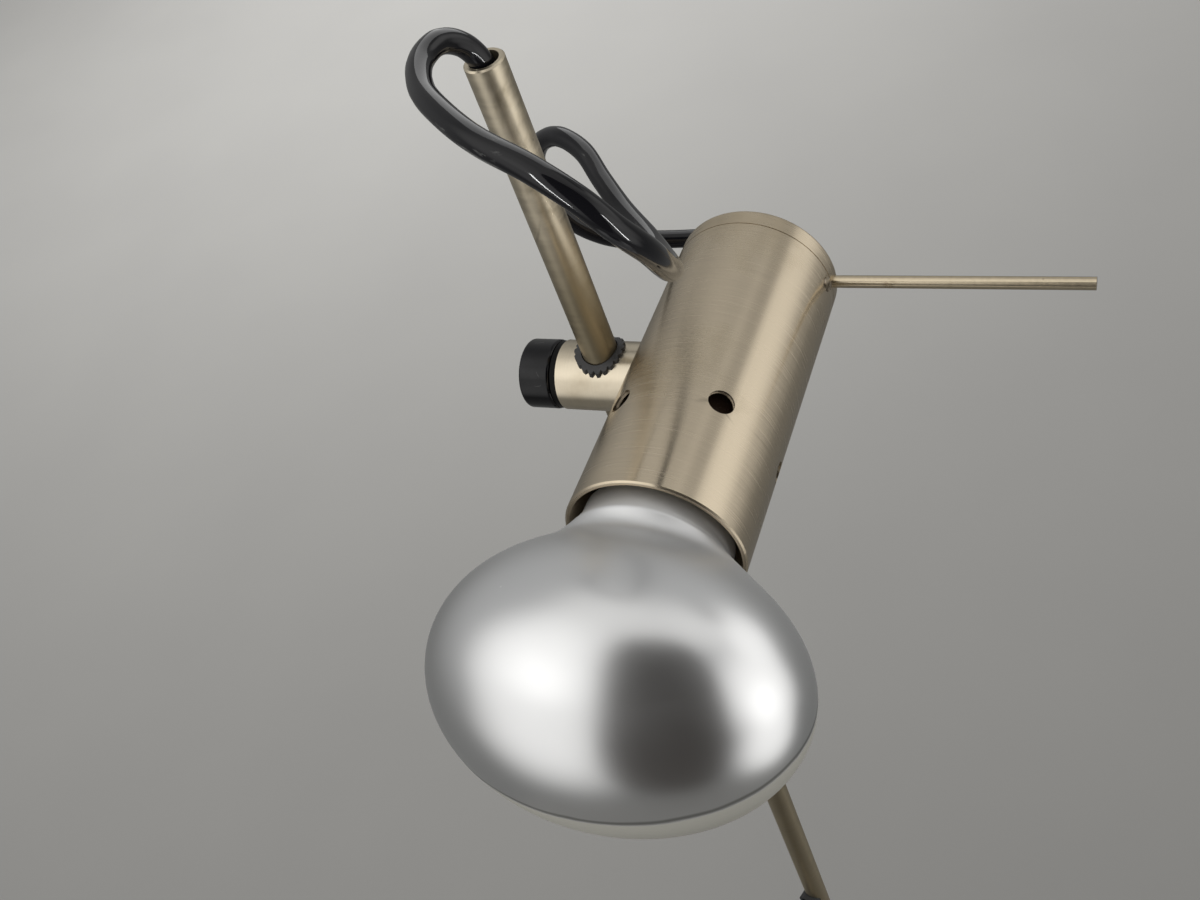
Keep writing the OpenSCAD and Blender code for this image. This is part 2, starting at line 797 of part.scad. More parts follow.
module holder_body() {
    color([0.15, 0.1, 0.08]) in_head() difference() {
        translate([0, 0, holder_back]) cylinder(d = holder_d, h = holder_len);
        translate([0, 0, holder_back + holder_floor]) cylinder(r = shell_out_r, h = holder_len);
        translate([0, 0, holder_back - over]) cylinder(d = nipple_d, h = holder_floor / 2 + over);
    }
}

module holder_shell() {
    color("gold") in_head()
        pipe(2 * shell_out_r, 2 * shell_in_r, holder_front - shell_len, holder_front - shell_t);
}

module holder_contact() {
    color("gold") in_head() translate([0, 0, holder_back + holder_floor])
        translate([-contact_w / 2, -contact_w / 2, 0]) cube([contact_w, contact_w, contact_t]);
}

module bulb_contact() {
    color("silver") in_head() translate([0, 0, base_s]) cylinder(d1 = tip_d - 2, d2 = tip_d, h = tip_h);
}

module bulb_insulator() {
    color("black") in_head() translate([0, 0, base_s + tip_h])
        cylinder(d1 = tip_d, d2 = base_d - 4, h = insulator_len);
}

module bulb_base() {
    color("gold") in_head() translate([0, 0, base_s + tip_h + insulator_len]) difference() {
        cylinder(d = base_d, h = base_len);
        translate([0, 0, shell_t]) cylinder(d = base_d - 2 * shell_t, h = base_len);
    }
}

function ease(x) = let (t = min(max(x, 0), 1)) t * t * (3 - 2 * t);

function soft_max(a, b) = pow(pow(a, crown_power) + pow(b, crown_power), 1 / crown_power);

function bulb_share(s) = sqrt(max(0, 1 - pow((s - bulb_mid) / bulb_long_r, 2)));

function neck_radius(s) =
    s < neck_fade_s ? neck_start_r + (neck_r - neck_start_r) * ease((s - neck_flare_s) / (neck_full_s - neck_flare_s)) :
    neck_r * max(0, (bulb_mid - s) / (bulb_mid - neck_fade_s));

function bulb_side(s) = soft_max(neck_radius(s), bulb_wide_r * bulb_share(s));

function bulb_up(s) =
    let (crown = bulb_high_r * bulb_share(s) - bulb_drop)
    s < bulb_mid ? soft_max(neck_radius(s), max(crown, 0)) : crown;

function bulb_down(s) =
    let (crown = bulb_high_r * bulb_share(s) + bulb_drop)
    s < bulb_mid ? soft_max(neck_radius(s), crown * ease((s - head_front) / 4)) : crown;

function bulb_ring(s, inset) =
    let (
        w = bulb_side(s) - inset,
        h = (bulb_up(s) + bulb_down(s)) / 2 - inset,
        mid = (bulb_up(s) - bulb_down(s)) / 2,
        aside = -bulb_shift * ease((s - head_front) / shift_len)
    )
    [for (k = [0 : bulb_sides - 1])
        let (a = 360 * k / bulb_sides) [aside + w * cos(a), mid + h * sin(a), s]];

function bulb_stations(long_r) = concat(
    [for (i = [0 : neck_rings - 1])
        glass_s + i * (bulb_mid - bulb_long_r * cos(body_first) - glass_s) / neck_rings],
    [for (i = [0 : body_rings])
        bulb_mid - long_r * cos(body_first + i * (body_last - body_first) / body_rings)]
);

module bulb_glass() {
    outside = bulb_stations(bulb_long_r);
    inside = [for (s = outside) s < bulb_mid ? s : s - glass_t * (s - bulb_mid) / bulb_long_r];
    rings = len(outside);
    n = bulb_sides;
    points = concat(
        [for (s = outside) each bulb_ring(s, 0)],
        [for (i = [0 : rings - 1])
            each [for (q = bulb_ring(outside[i], min(glass_t, 0.5 * bulb_side(outside[i]))))
                [q[0], q[1], inside[i]]]]
    );
    inner = rings * n;
    inner_skin = [for (face = skin(rings, n)) [face[2] + inner, face[1] + inner, face[0] + inner]];
    mouth = [
        for (j = [0 : n - 1], half = [0, 1])
            let (a = j, b = (j + 1) % n, c = a + inner, d = b + inner)
            half == 0 ? [a, b, d] : [a, d, c]
    ];
    inner_tip = back_cap(n, inner + (rings - 1) * n);
    color("white") in_head()
        polyhedron(points, concat(skin(rings, n), front_cap(n, (rings - 1) * n), inner_skin, inner_tip, mouth));
}

// Cord

module cord_riser() {
    color("black") translate([0, 0, exit_h + 2 * cord_d])
        cylinder(d = cord_d, h = loop_route[0][2] - exit_h - 2 * cord_d);
}

module cord_loop_stem() {
    color("black") tube(loop_route, 0, loop_split_1, cord_d, tube_sides);
}

module cord_loop_turn() {
    color("black") tube(loop_route, loop_split_1, loop_split_2, cord_d, tube_sides);
}

module cord_loop_head() {
    color("black") tube(loop_route, loop_split_2, len(loop_route) - 1, cord_d, tube_sides);
}

module cord_lead() {
    color("black") tube(lead_route, 0, len(lead_route) - 1, cord_d, tube_sides);
}

module cord_link() {
    color("black") tube(link_route, 0, len(link_route) - 1, cord_d, tube_sides);
}

module cord_coil() {
    color("black") tube(coil_route(), 0, len(coil_route()) - 1, cord_d, coil_sides);
}

module cord_tail() {
    color("black") tube(tail_route, 0, len(tail_route) - 1, cord_d, tube_sides);
}

// In-line switch

module switch_plan(inset = 0) {
    r = switch_w / 2 - inset;
    straight = switch_len - switch_w;
    translate([-r, -straight / 2]) square([2 * r, straight]);
    for (y = [-straight / 2, straight / 2]) translate([0, y]) circle(r);
}

module at_switch() {
    translate([switch_x, switch_y, 0]) children();
}

module switch_cord_hole() {
    translate([0, 0, seam_z]) rotate([90, 0, 0]) cylinder(d = cord_hole_d, h = switch_len + 2 * over, center = true);
}

module switch_bottom() {
    color("black") at_switch() difference() {
        linear_extrude(seam_z) switch_plan();
        translate([0, 0, shell_wall]) linear_extrude(seam_z) switch_plan(shell_wall);
        switch_cord_hole();
    }
}

module switch_top() {
    color("black") at_switch() difference() {
        translate([0, 0, seam_z]) linear_extrude(seam_z) switch_plan();
        translate([0, 0, seam_z - over]) linear_extrude(seam_z - shell_wall + over) switch_plan(shell_wall);
        switch_cord_hole();
        translate([-slider_w / 2 - air_gap, -slider_len / 2 - air_gap, seam_z])
            cube([slider_w + 2 * air_gap, slider_len + slider_travel + 2 * air_gap, switch_h]);
    }
}

module switch_slider() {
    color("dimgray") at_switch() difference() {
        union() {
            translate([-slider_w / 2, -slider_len / 2, switch_h - shell_wall - slider_lip - air_gap])
                cube([slider_w, slider_len, shell_wall + slider_lip + air_gap + slider_proud]);
            translate([-slider_w / 2 - slider_lip, -slider_len / 2, switch_h - shell_wall - slider_lip - air_gap])
                cube([slider_w + 2 * slider_lip, slider_len, slider_lip]);
        }
        for (k = [1 : rib_count])
            translate([0, -slider_len / 2 + k * slider_len / (rib_count + 1), switch_h + slider_proud])
                x_bar(rib_d, -slider_w, slider_w);
    }
}

// Plug

module at_plug() {
    translate([plug_x, plug_back, 0]) children();
}

module plug_body() {
    color("black") at_plug() difference() {
        linear_extrude(plug_h) polygon([
            [-plug_neck_w / 2, 0], [plug_neck_w / 2, 0], [plug_w / 2, plug_len / 2], [plug_w / 2, plug_len],
            [-plug_w / 2, plug_len], [-plug_w / 2, plug_len / 2]
        ]);
        translate([0, -over, plug_z]) rotate([-90, 0, 0]) cylinder(d = cord_hole_d, h = entry_deep + over);
        for (side = pin_turns) translate([side * pin_pitch / 2, plug_len - pin_seat, plug_z])
            rotate([-90, 0, 0]) cylinder(d = pin_d, h = pin_seat + over);
    }
}

module plug_pin(side) {
    color("silver") at_plug() translate([side * pin_pitch / 2, plug_len - pin_seat, plug_z])
        rotate([-90, 0, 0]) round_disc(pin_d, pin_seat + pin_len, pin_d / 4);
}

clamp_bracket();
jaw_pad();
stem_socket();
socket_screw();
socket_grub();
stem();
cord_grommet();
clamp_foot();
foot_pad();
clamp_spindle();
clamp_knob();
stem_liner();
barrel();
bush_top();
bush_bottom();
knob_ring();
pivot_washer();
pivot_nut();
pressure_pad();
knob_stud();
lock_knob();
head_tube();
end_cap();
cap_screw(0);  // cap_screw_1
cap_screw(1);  // cap_screw_2
cap_screw(2);  // cap_screw_3
aiming_rod();
cord_gland();
nipple();
nipple_nut();
holder_body();
holder_shell();
holder_contact();
bulb_glass();
bulb_base();
bulb_insulator();
bulb_contact();
cord_riser();
cord_loop_stem();
cord_loop_turn();
cord_loop_head();
cord_lead();
switch_bottom();
switch_top();
switch_slider();
cord_link();
cord_coil();
cord_tail();
plug_body();
plug_pin(-1);  // plug_pin_left
plug_pin(1);  // plug_pin_right
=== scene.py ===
# %% [markdown]
# # A clamp lamp with a side-silvered bulb
# The lamp is a bare upright tube in a table clamp. A cross barrel slides and turns on the tube,
# and a nickel head tilts on the barrel. The CAD model holds every true size, so this lesson loads
# it first and then gives it finishes, a smooth bulb and real cords. Sizes here are in metres.

# %% Load the CAD model as a fixed frame
import json
import math

import bmesh
import bpy
from mathutils import Matrix, Vector

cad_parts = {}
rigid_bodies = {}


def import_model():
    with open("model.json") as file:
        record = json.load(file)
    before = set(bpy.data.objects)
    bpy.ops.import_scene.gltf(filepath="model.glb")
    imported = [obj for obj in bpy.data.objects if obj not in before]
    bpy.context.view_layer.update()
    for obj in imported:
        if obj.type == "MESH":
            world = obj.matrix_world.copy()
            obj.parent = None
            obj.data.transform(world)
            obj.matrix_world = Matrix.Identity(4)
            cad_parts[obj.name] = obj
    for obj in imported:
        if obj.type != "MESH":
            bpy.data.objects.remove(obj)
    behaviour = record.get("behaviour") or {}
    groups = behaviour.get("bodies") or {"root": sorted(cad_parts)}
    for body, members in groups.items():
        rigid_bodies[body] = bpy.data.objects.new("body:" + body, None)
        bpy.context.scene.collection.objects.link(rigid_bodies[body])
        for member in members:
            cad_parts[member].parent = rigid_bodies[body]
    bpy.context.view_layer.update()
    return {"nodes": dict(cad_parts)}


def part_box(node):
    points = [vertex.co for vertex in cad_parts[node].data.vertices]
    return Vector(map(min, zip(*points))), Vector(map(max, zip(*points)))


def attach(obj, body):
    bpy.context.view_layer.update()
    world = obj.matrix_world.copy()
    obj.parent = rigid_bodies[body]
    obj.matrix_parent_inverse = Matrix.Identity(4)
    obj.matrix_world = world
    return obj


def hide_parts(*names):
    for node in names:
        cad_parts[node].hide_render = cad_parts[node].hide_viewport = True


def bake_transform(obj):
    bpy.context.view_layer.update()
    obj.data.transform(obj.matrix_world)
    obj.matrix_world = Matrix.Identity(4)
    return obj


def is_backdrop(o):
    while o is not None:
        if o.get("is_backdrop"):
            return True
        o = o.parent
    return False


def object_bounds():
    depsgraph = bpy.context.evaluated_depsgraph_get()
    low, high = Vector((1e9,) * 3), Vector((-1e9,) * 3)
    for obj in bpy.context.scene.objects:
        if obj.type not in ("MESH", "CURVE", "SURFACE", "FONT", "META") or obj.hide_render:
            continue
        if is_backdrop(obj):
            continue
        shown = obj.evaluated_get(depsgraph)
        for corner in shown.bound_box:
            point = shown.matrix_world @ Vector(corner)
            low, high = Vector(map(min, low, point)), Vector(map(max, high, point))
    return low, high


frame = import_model()
nodes = frame["nodes"]
MM = 0.001


def put(name, data):
    """A new object in the scene."""
    made = bpy.data.objects.new(name, data)
    bpy.context.scene.collection.objects.link(made)
    return made


# %% [markdown]
# ## The camera
# The photograph was taken close to the lamp, from above and in front of it. The camera's place and
# lens were solved from the tubes' edges, so a pixel of the picture and a point of the model agree.
# Blender's camera looks along its own -Z, so the matrix takes right, up and back as its columns.

# %% Camera from the solved view
PICTURE_W_PX = 1200
FOCAL_PX = 1262.76
SENSOR_MM = 36.0
eye = Vector((0.146905, -0.220294, 0.678493))
right = Vector((0.9083887, 0.3107697, -0.2797358))
down = Vector((0.0625560, -0.7625017, -0.6439549))
ahead = Vector((-0.4134207, 0.5674623, -0.7120884))

lens = bpy.data.cameras.new("photo_lens")
lens.sensor_width = SENSOR_MM
lens.lens = FOCAL_PX * SENSOR_MM / PICTURE_W_PX
lens.clip_start = 0.02
camera = put("photo_camera", lens)
camera.matrix_world = Matrix.Translation(eye) @ Matrix((right, -down, -ahead)).transposed().to_4x4()
bpy.context.scene.camera = camera
print("lens", round(lens.lens, 2), "mm")

# %% [markdown]
# ## Small helpers for node trees
# Materials and Geometry Nodes are both trees of nodes with named sockets. A few helpers keep the cells
# below short: one adds a node and fills its inputs, one makes a group with named sockets, and one
# gives every Geometry Nodes tree the same end.

# %% Helpers for node trees
SOCKETS = {"float": "NodeSocketFloat", "vector": "NodeSocketVector", "int": "NodeSocketInt",
           "geometry": "NodeSocketGeometry", "material": "NodeSocketMaterial"}


def add(tree, kind, inputs=None, **settings):
    """One node. An input is a number, a colour, or another node's output socket."""
    node = tree.nodes.new(kind)
    for name, value in settings.items():
        setattr(node, name, value)
    for name, value in (inputs or {}).items():
        if isinstance(value, bpy.types.NodeSocket):
            tree.links.new(value, node.inputs[name])
        else:
            node.inputs[name].default_value = value
    return node


def new_group(name, kind, inputs, outputs):
    """A node group with named sockets. Returns the tree, its input node and its output node."""
    tree = bpy.data.node_groups.new(name, kind)
    for label, form in inputs:
        tree.interface.new_socket(label, in_out="INPUT", socket_type=SOCKETS[form])
    for label, form in outputs:
        tree.interface.new_socket(label, in_out="OUTPUT", socket_type=SOCKETS[form])
    return tree, tree.nodes.new("NodeGroupInput"), tree.nodes.new("NodeGroupOutput")


def maths(tree, operation, a, b=0.0, clamp=False):
    """The result of one Math node."""
    return add(tree, "ShaderNodeMath", {0: a, 1: b}, operation=operation, use_clamp=clamp).outputs[0]


def ramp(tree, value, low, high, to_low=0.0, to_high=1.0):
    """value from low to high, turned smoothly into to_low to to_high."""
    made = add(tree, "ShaderNodeMapRange", {"Value": value, "From Min": low, "From Max": high,
                                            "To Min": to_low, "To Max": to_high})
    made.interpolation_type = "SMOOTHSTEP"
    return made.outputs["Result"]


def noise(tree, where, scale, detail):
    """The value of a Noise texture at a place."""
    made = add(tree, "ShaderNodeTexNoise", {"Vector": where, "Scale": scale, "Detail": detail})
    return made.outputs["Fac"]


def close_tree(tree, shape, source, result):
    """The end of a Geometry Nodes tree: smooth shading, real geometry and the finish."""
    smooth = add(tree, "GeometryNodeSetShadeSmooth", {0: shape})
    whole = add(tree, "GeometryNodeRealizeInstances", {0: smooth.outputs[0]})
    finished = add(tree, "GeometryNodeSetMaterial",
                   {0: whole.outputs[0], "Material": source.outputs["Finish"]})
    tree.links.new(finished.outputs[0], result.inputs[0])


print("helpers ready")

# %% [markdown]
# ## Effects that several finishes share
# A turned tube shows fine rings round its axis, and a turned disc shows circles. Both come from one
# noise that changes fast along the axis and along the radius, and slowly round the turn. Patches of
# tarnish, hair scratches and small pits are three more groups. Each group gives a mask from 0 to 1.

# %% Turned grain
turned_grain, source, result = new_group(
    "turned_grain", "ShaderNodeTree", [("Vector", "vector"), ("Rings", "float"), ("Drift", "float")],
    [("Grain", "float")])
parts = add(turned_grain, "ShaderNodeSeparateXYZ", {0: source.outputs["Vector"]})
flat = add(turned_grain, "ShaderNodeCombineXYZ", {"X": parts.outputs["X"], "Y": parts.outputs["Y"]})
radius = add(turned_grain, "ShaderNodeVectorMath", {0: flat.outputs[0]}, operation="LENGTH")
slow = maths(turned_grain, "ADD", parts.outputs["X"], parts.outputs["Y"])
lookup = add(turned_grain, "ShaderNodeCombineXYZ", {
    "X": maths(turned_grain, "MULTIPLY", parts.outputs["Z"], source.outputs["Rings"]),
    "Y": maths(turned_grain, "MULTIPLY", radius.outputs["Value"], source.outputs["Rings"]),
    "Z": maths(turned_grain, "MULTIPLY", slow, source.outputs["Drift"])})
grain_noise = add(turned_grain, "ShaderNodeTexNoise",
                  {"Vector": lookup.outputs[0], "Scale": 1.0, "Detail": 3.0, "Roughness": 0.65})
turned_grain.links.new(grain_noise.outputs["Fac"], result.inputs["Grain"])
print("group", turned_grain.name)

# %% Tarnish patches
tarnish, source, result = new_group(
    "tarnish", "ShaderNodeTree",
    [("Vector", "vector"), ("Density", "float"), ("Start", "float"), ("Full", "float")],
    [("Mask", "float")])
cloud = add(tarnish, "ShaderNodeTexNoise", {
    "Vector": source.outputs["Vector"], "Scale": source.outputs["Density"], "Detail": 5.0, "Roughness": 0.6,
    "Distortion": 0.4})
tarnish.links.new(ramp(tarnish, cloud.outputs["Fac"], source.outputs["Start"], source.outputs["Full"]),
                  result.inputs["Mask"])
print("group", tarnish.name)

# %% Hair scratches and pits
hair_scratches, source, result = new_group(
    "hair_scratches", "ShaderNodeTree", [("Vector", "vector"), ("Density", "float"), ("Width", "float")],
    [("Mask", "float")])
wander = noise(hair_scratches, source.outputs["Vector"], source.outputs["Density"], 1.0)
middle = maths(hair_scratches, "ABSOLUTE", maths(hair_scratches, "SUBTRACT", wander, 0.5))
line = ramp(hair_scratches, middle, 0.0, source.outputs["Width"], 1.0, 0.0)
finer = maths(hair_scratches, "MULTIPLY", source.outputs["Density"], 1.7)
breaks = noise(hair_scratches, source.outputs["Vector"], finer, 2.0)
kept = ramp(hair_scratches, breaks, 0.56, 0.62)
hair_scratches.links.new(maths(hair_scratches, "MULTIPLY", line, kept), result.inputs["Mask"])

pits, source, result = new_group(
    "pits", "ShaderNodeTree",
    [("Vector", "vector"), ("Density", "float"), ("Size", "float"), ("Spared", "float")],
    [("Mask", "float")])
cells = add(pits, "ShaderNodeTexVoronoi",
            {"Vector": source.outputs["Vector"], "Scale": source.outputs["Density"]})
chance = add(pits, "ShaderNodeSeparateColor", {0: cells.outputs["Color"]})
dot = ramp(pits, cells.outputs["Distance"], 0.0, source.outputs["Size"], 1.0, 0.0)
hit = maths(pits, "GREATER_THAN", chance.outputs[0], source.outputs["Spared"])
pits.links.new(maths(pits, "MULTIPLY", dot, hit), result.inputs["Mask"])
print("groups", hair_scratches.name, pits.name)

# %% [markdown]
# ## Nickel
# The head, the cap and the barrel are satin nickel that has gone a little yellow. The metal is one
# Principled shader at full Metallic. Its grain drives roughness and a faint bump, tarnish shifts its
# colour, and a few hair scratches and pits break the surface. A Mapping node turns each piece's own
# axis onto Z, because the rings of the grain run round Z.

# %% Metal finishes
DULL_INSIDE = 0.75


def place(tree, at=(0, 0, 0), turn=(0, 0, 0)):
    """Object coordinates moved to at and turned by degrees, so that Z is the piece's axis."""
    coordinates = add(tree, "ShaderNodeTexCoord").outputs["Object"]
    moved = add(tree, "ShaderNodeVectorMath", {0: coordinates, 1: at}, operation="SUBTRACT")
    turned = add(tree, "ShaderNodeMapping", {"Vector": moved.outputs[0],
                                             "Rotation": [math.radians(a) for a in turn]})
    return turned.outputs["Vector"]


def effect(tree, group, **inputs):
    """One use of a shared effect, with its own values."""
    return add(tree, "ShaderNodeGroup", inputs, node_tree=group).outputs[0]


def blend_colour(tree, mask, first, second):
    """first where the mask is 0, second where it is 1."""
    node = add(tree, "ShaderNodeMix", {"Factor": mask}, data_type="RGBA")
    for socket, value in ((node.inputs[6], first), (node.inputs[7], second)):
        if isinstance(value, bpy.types.NodeSocket):
            tree.links.new(value, socket)
        else:
            socket.default_value = (*value, 1.0)
    return node.outputs[2]


def new_finish(name):
    """A material with one Principled shader. Returns the material, its tree and the shader."""
    made = bpy.data.materials.new(name)
    made.use_nodes = True
    return made, made.node_tree, made.node_tree.nodes["Principled BSDF"]


def bump(tree, shader, height, depth):
    """A bump of that depth in metres on the shader's normal."""
    made = add(tree, "ShaderNodeBump", {"Height": height, "Distance": depth, "Strength": 1.0})
    tree.links.new(made.outputs["Normal"], shader.inputs["Normal"])


def metal(name, clean, stained, at=(0, 0, 0), turn=(0, 0, 0), axis="Z", rings=5200.0, rough=(0.25, 0.33),
          stain=(0.5, 0.8), spots=30.0, hair=0.0025, spared=0.97, stretch=0.75, hollow=0.0,
          wear_and_shade=None):
    """A turned metal: its colours, axis and grain, how worn it is, the radius of a dull inside, and the
    heights below which painted shade turns it dark."""
    made, tree, shader = new_finish(name)
    here = place(tree, at, turn)
    grain = effect(tree, turned_grain, Vector=here, Rings=rings, Drift=40.0)
    tarnish_and_shade = effect(tree, tarnish, Vector=here, Density=spots, Start=stain[0], Full=stain[1])
    if wear_and_shade:
        # Painted shade: below these heights the metal is painted in the stained colour, darker towards the
        # bottom, and this is added to the tarnish mask.
        height = add(tree, "ShaderNodeSeparateXYZ", {0: here}).outputs["Z"]
        tarnish_and_shade = maths(tree, "MAXIMUM", tarnish_and_shade, ramp(tree, height, *wear_and_shade, 0.0, 0.85))
    hairs = effect(tree, hair_scratches, Vector=here, Density=16.0, Width=hair)
    holes = effect(tree, pits, Vector=here, Density=170.0, Size=0.1, Spared=spared)
    shade = blend_colour(tree, ramp(tree, grain, 0.25, 0.75), [0.9 * c for c in clean], clean)
    shade = blend_colour(tree, tarnish_and_shade, shade, stained)
    shade = blend_colour(tree, maths(tree, "MULTIPLY", hairs, 0.5), shade, [0.4 * c for c in clean])
    shade = blend_colour(tree, holes, shade, (0.07, 0.045, 0.03))
    tree.links.new(shade, shader.inputs["Base Color"])
    shader.inputs["Metallic"].default_value = 1.0
    dull = ramp(tree, grain, 0.25, 0.75, *rough)
    dull = maths(tree, "ADD", dull, maths(tree, "MULTIPLY", tarnish_and_shade, 0.08), True)
    if hollow:
        flat = add(tree, "ShaderNodeVectorMath", {0: here, 1: (1.0, 1.0, 0.0)}, operation="MULTIPLY")
        apart = add(tree, "ShaderNodeVectorMath", {0: flat.outputs[0]}, operation="LENGTH")
        inside = maths(tree, "LESS_THAN", apart.outputs["Value"], hollow)
        dull = maths(tree, "MAXIMUM", dull, maths(tree, "MULTIPLY", inside, DULL_INSIDE))
    tree.links.new(dull, shader.inputs["Roughness"])
    shader.inputs["Anisotropic"].default_value = stretch
    shader.inputs["Anisotropic Rotation"].default_value = 0.25
    round_axis = add(tree, "ShaderNodeTangent", direction_type="RADIAL", axis=axis)
    tree.links.new(round_axis.outputs[0], shader.inputs["Tangent"])
    low = maths(tree, "ADD", hairs, maths(tree, "MULTIPLY", holes, 2.0))
    bump(tree, shader, maths(tree, "SUBTRACT", maths(tree, "MULTIPLY", grain, 0.3), low), 0.00001)
    return made


HEAD_X = 0.0323
JOINT_H = 0.436
HEAD_TILT = 2.7
NICKEL = (0.64, 0.55, 0.415)
AGED_NICKEL = (0.5, 0.42, 0.3)
head_centre = (HEAD_X, 0.0, JOINT_H)
head_turn = (HEAD_TILT - 90.0, 0.0, 0.0)
ACROSS = (0.0, -90.0, 0.0)
HEAD_BORE_R = 0.0229
head_nickel = metal("head_nickel", NICKEL, AGED_NICKEL, head_centre, head_turn, axis="Y",
                    rough=(0.22, 0.28), rings=2300.0, stretch=0.97, hollow=HEAD_BORE_R)
barrel_nickel = metal("barrel_nickel", (0.73, 0.65, 0.51), AGED_NICKEL, (0, 0, JOINT_H), ACROSS, axis="X",
                      rough=(0.28, 0.36), spared=0.9)
rod_nickel = metal("rod_nickel", (0.64, 0.55, 0.4), (0.34, 0.26, 0.16), head_centre, ACROSS, axis="X",
                   rings=900.0, rough=(0.2, 0.26), stain=(0.6, 0.78), spots=120.0, spared=0.93)
# The stem's lower part is painted dark as painted shade, between the heights given below.
stem_nickel = metal("stem_nickel", (0.69, 0.61, 0.47), (0.27, 0.225, 0.145), rings=900.0,
                    rough=(0.3, 0.42), stain=(0.5, 0.72), spots=38.0, hair=0.006, spared=0.8, stretch=0.4,
                    wear_and_shade=(0.508, 0.462))
clamp_nickel = metal("clamp_nickel", NICKEL, AGED_NICKEL, rings=900.0)
screw_steel = metal("screw_steel", (0.5, 0.46, 0.4), (0.22, 0.15, 0.09), rings=2500.0, spots=220.0)
brass = metal("brass", (0.72, 0.52, 0.22), (0.4, 0.27, 0.12), rings=1800.0)
print("metals", [m.name for m in bpy.data.materials if m.name.endswith("nickel")])

# %% [markdown]
# ## Black pieces
# The lock knob is turned from black plastic and polished. The toothed bush, the ring, the switch and
# the plug are moulded, so they have a fine sparkle of grain and dull patches where hands rub them.
# Rubber is nearly black too, but dull. One function makes the three with different numbers.

# %% Plastic and rubber finishes


def moulded(name, colour, smooth, rough, density, depth, coat=0.0, gloss=0.3):
    """A moulded or polished black piece with grain, rubbed patches and hair scratches."""
    made, tree, shader = new_finish(name)
    here = place(tree)
    wear_and_shade = effect(tree, tarnish, Vector=here, Density=90.0, Start=0.45, Full=0.75)
    hairs = effect(tree, hair_scratches, Vector=here, Density=120.0, Width=0.008)
    skin = noise(tree, here, density, 2.0)
    shade = blend_colour(tree, wear_and_shade, colour, [min(1.0, 1.6 * c + 0.006) for c in colour])
    shade = blend_colour(tree, maths(tree, "MULTIPLY", hairs, 0.35), shade, (0.16, 0.16, 0.16))
    tree.links.new(shade, shader.inputs["Base Color"])
    mixed = maths(tree, "ADD", maths(tree, "MULTIPLY", wear_and_shade, 0.6), maths(tree, "MULTIPLY", skin, 0.4))
    tree.links.new(ramp(tree, mixed, 0.1, 0.8, smooth, rough), shader.inputs["Roughness"])
    shader.inputs["Specular IOR Level"].default_value = gloss
    shader.inputs["Coat Weight"].default_value = coat
    shader.inputs["Coat Roughness"].default_value = 0.06
    bump(tree, shader, skin, depth)
    return made


gloss_black = moulded("gloss_black", (0.003, 0.003, 0.004), 0.08, 0.16, 900.0, 0.000003, gloss=0.28)
ring_black = moulded("ring_black", (0.002, 0.002, 0.002), 0.4, 0.6, 2600.0, 0.00002, gloss=0.12)
black_plastic = moulded("black_plastic", (0.01, 0.01, 0.011), 0.3, 0.5, 2600.0, 0.00002)
bush_plastic = moulded("bush_plastic", (0.035, 0.035, 0.036), 0.35, 0.55, 2600.0, 0.00002)
slider_plastic = moulded("slider_plastic", (0.05, 0.05, 0.052), 0.3, 0.5, 2600.0, 0.00002)
holder_brown = moulded("holder_brown", (0.03, 0.018, 0.012), 0.25, 0.45, 1800.0, 0.00001)
nylon = moulded("nylon", (0.09, 0.088, 0.08), 0.35, 0.5, 1500.0, 0.00001)
rubber = moulded("rubber", (0.018, 0.018, 0.018), 0.6, 0.8, 3000.0, 0.00003)
print("black pieces ready")

# %% [markdown]
# ## The cord's finish
# The lead has a glossy black skin with grey scuffs that run along it. The pattern has to follow the
# cord round its bends, so the tube stores a vector on each point: how far along it is, and where it
# is round the section. The finish reads that vector and not the place in space.

# %% Cord finish
CORD_PLACE = "cord_place"
cord_black, tree, shader = new_finish("cord_black")
along = add(tree, "ShaderNodeAttribute", attribute_name=CORD_PLACE).outputs["Vector"]
stretched = add(tree, "ShaderNodeMapping", {"Vector": along, "Scale": (0.25, 1.0, 1.0)}).outputs["Vector"]
scuffs = effect(tree, tarnish, Vector=stretched, Density=330.0, Start=0.6, Full=0.78)
zones = effect(tree, tarnish, Vector=along, Density=22.0, Start=0.47, Full=0.62)
grey = maths(tree, "MULTIPLY", scuffs, zones)
ripple = noise(tree, along, 160.0, 2.0)
shade = blend_colour(tree, maths(tree, "MULTIPLY", grey, 0.6), (0.004, 0.004, 0.005), (0.24, 0.24, 0.23))
tree.links.new(shade, shader.inputs["Base Color"])
shader.inputs["Specular IOR Level"].default_value = 0.3
gloss = ramp(tree, ripple, 0.3, 0.7, 0.05, 0.11)
dull = maths(tree, "ADD", gloss, maths(tree, "MULTIPLY", grey, 0.3), True)
tree.links.new(dull, shader.inputs["Roughness"])
bump(tree, shader, maths(tree, "ADD", ripple, maths(tree, "MULTIPLY", grey, 0.4)), 0.00005)
print("finish", cord_black.name)

# %% [markdown]
# ## Cords
# A cord is a tube along a smooth line through a few route points, and those points are the CAD
# model's own. The line is a Catmull-Rom spline. Geometry Nodes then sweep a round section along it,
# store the cord's own coordinates and set the finish, so every cord comes from one tree.

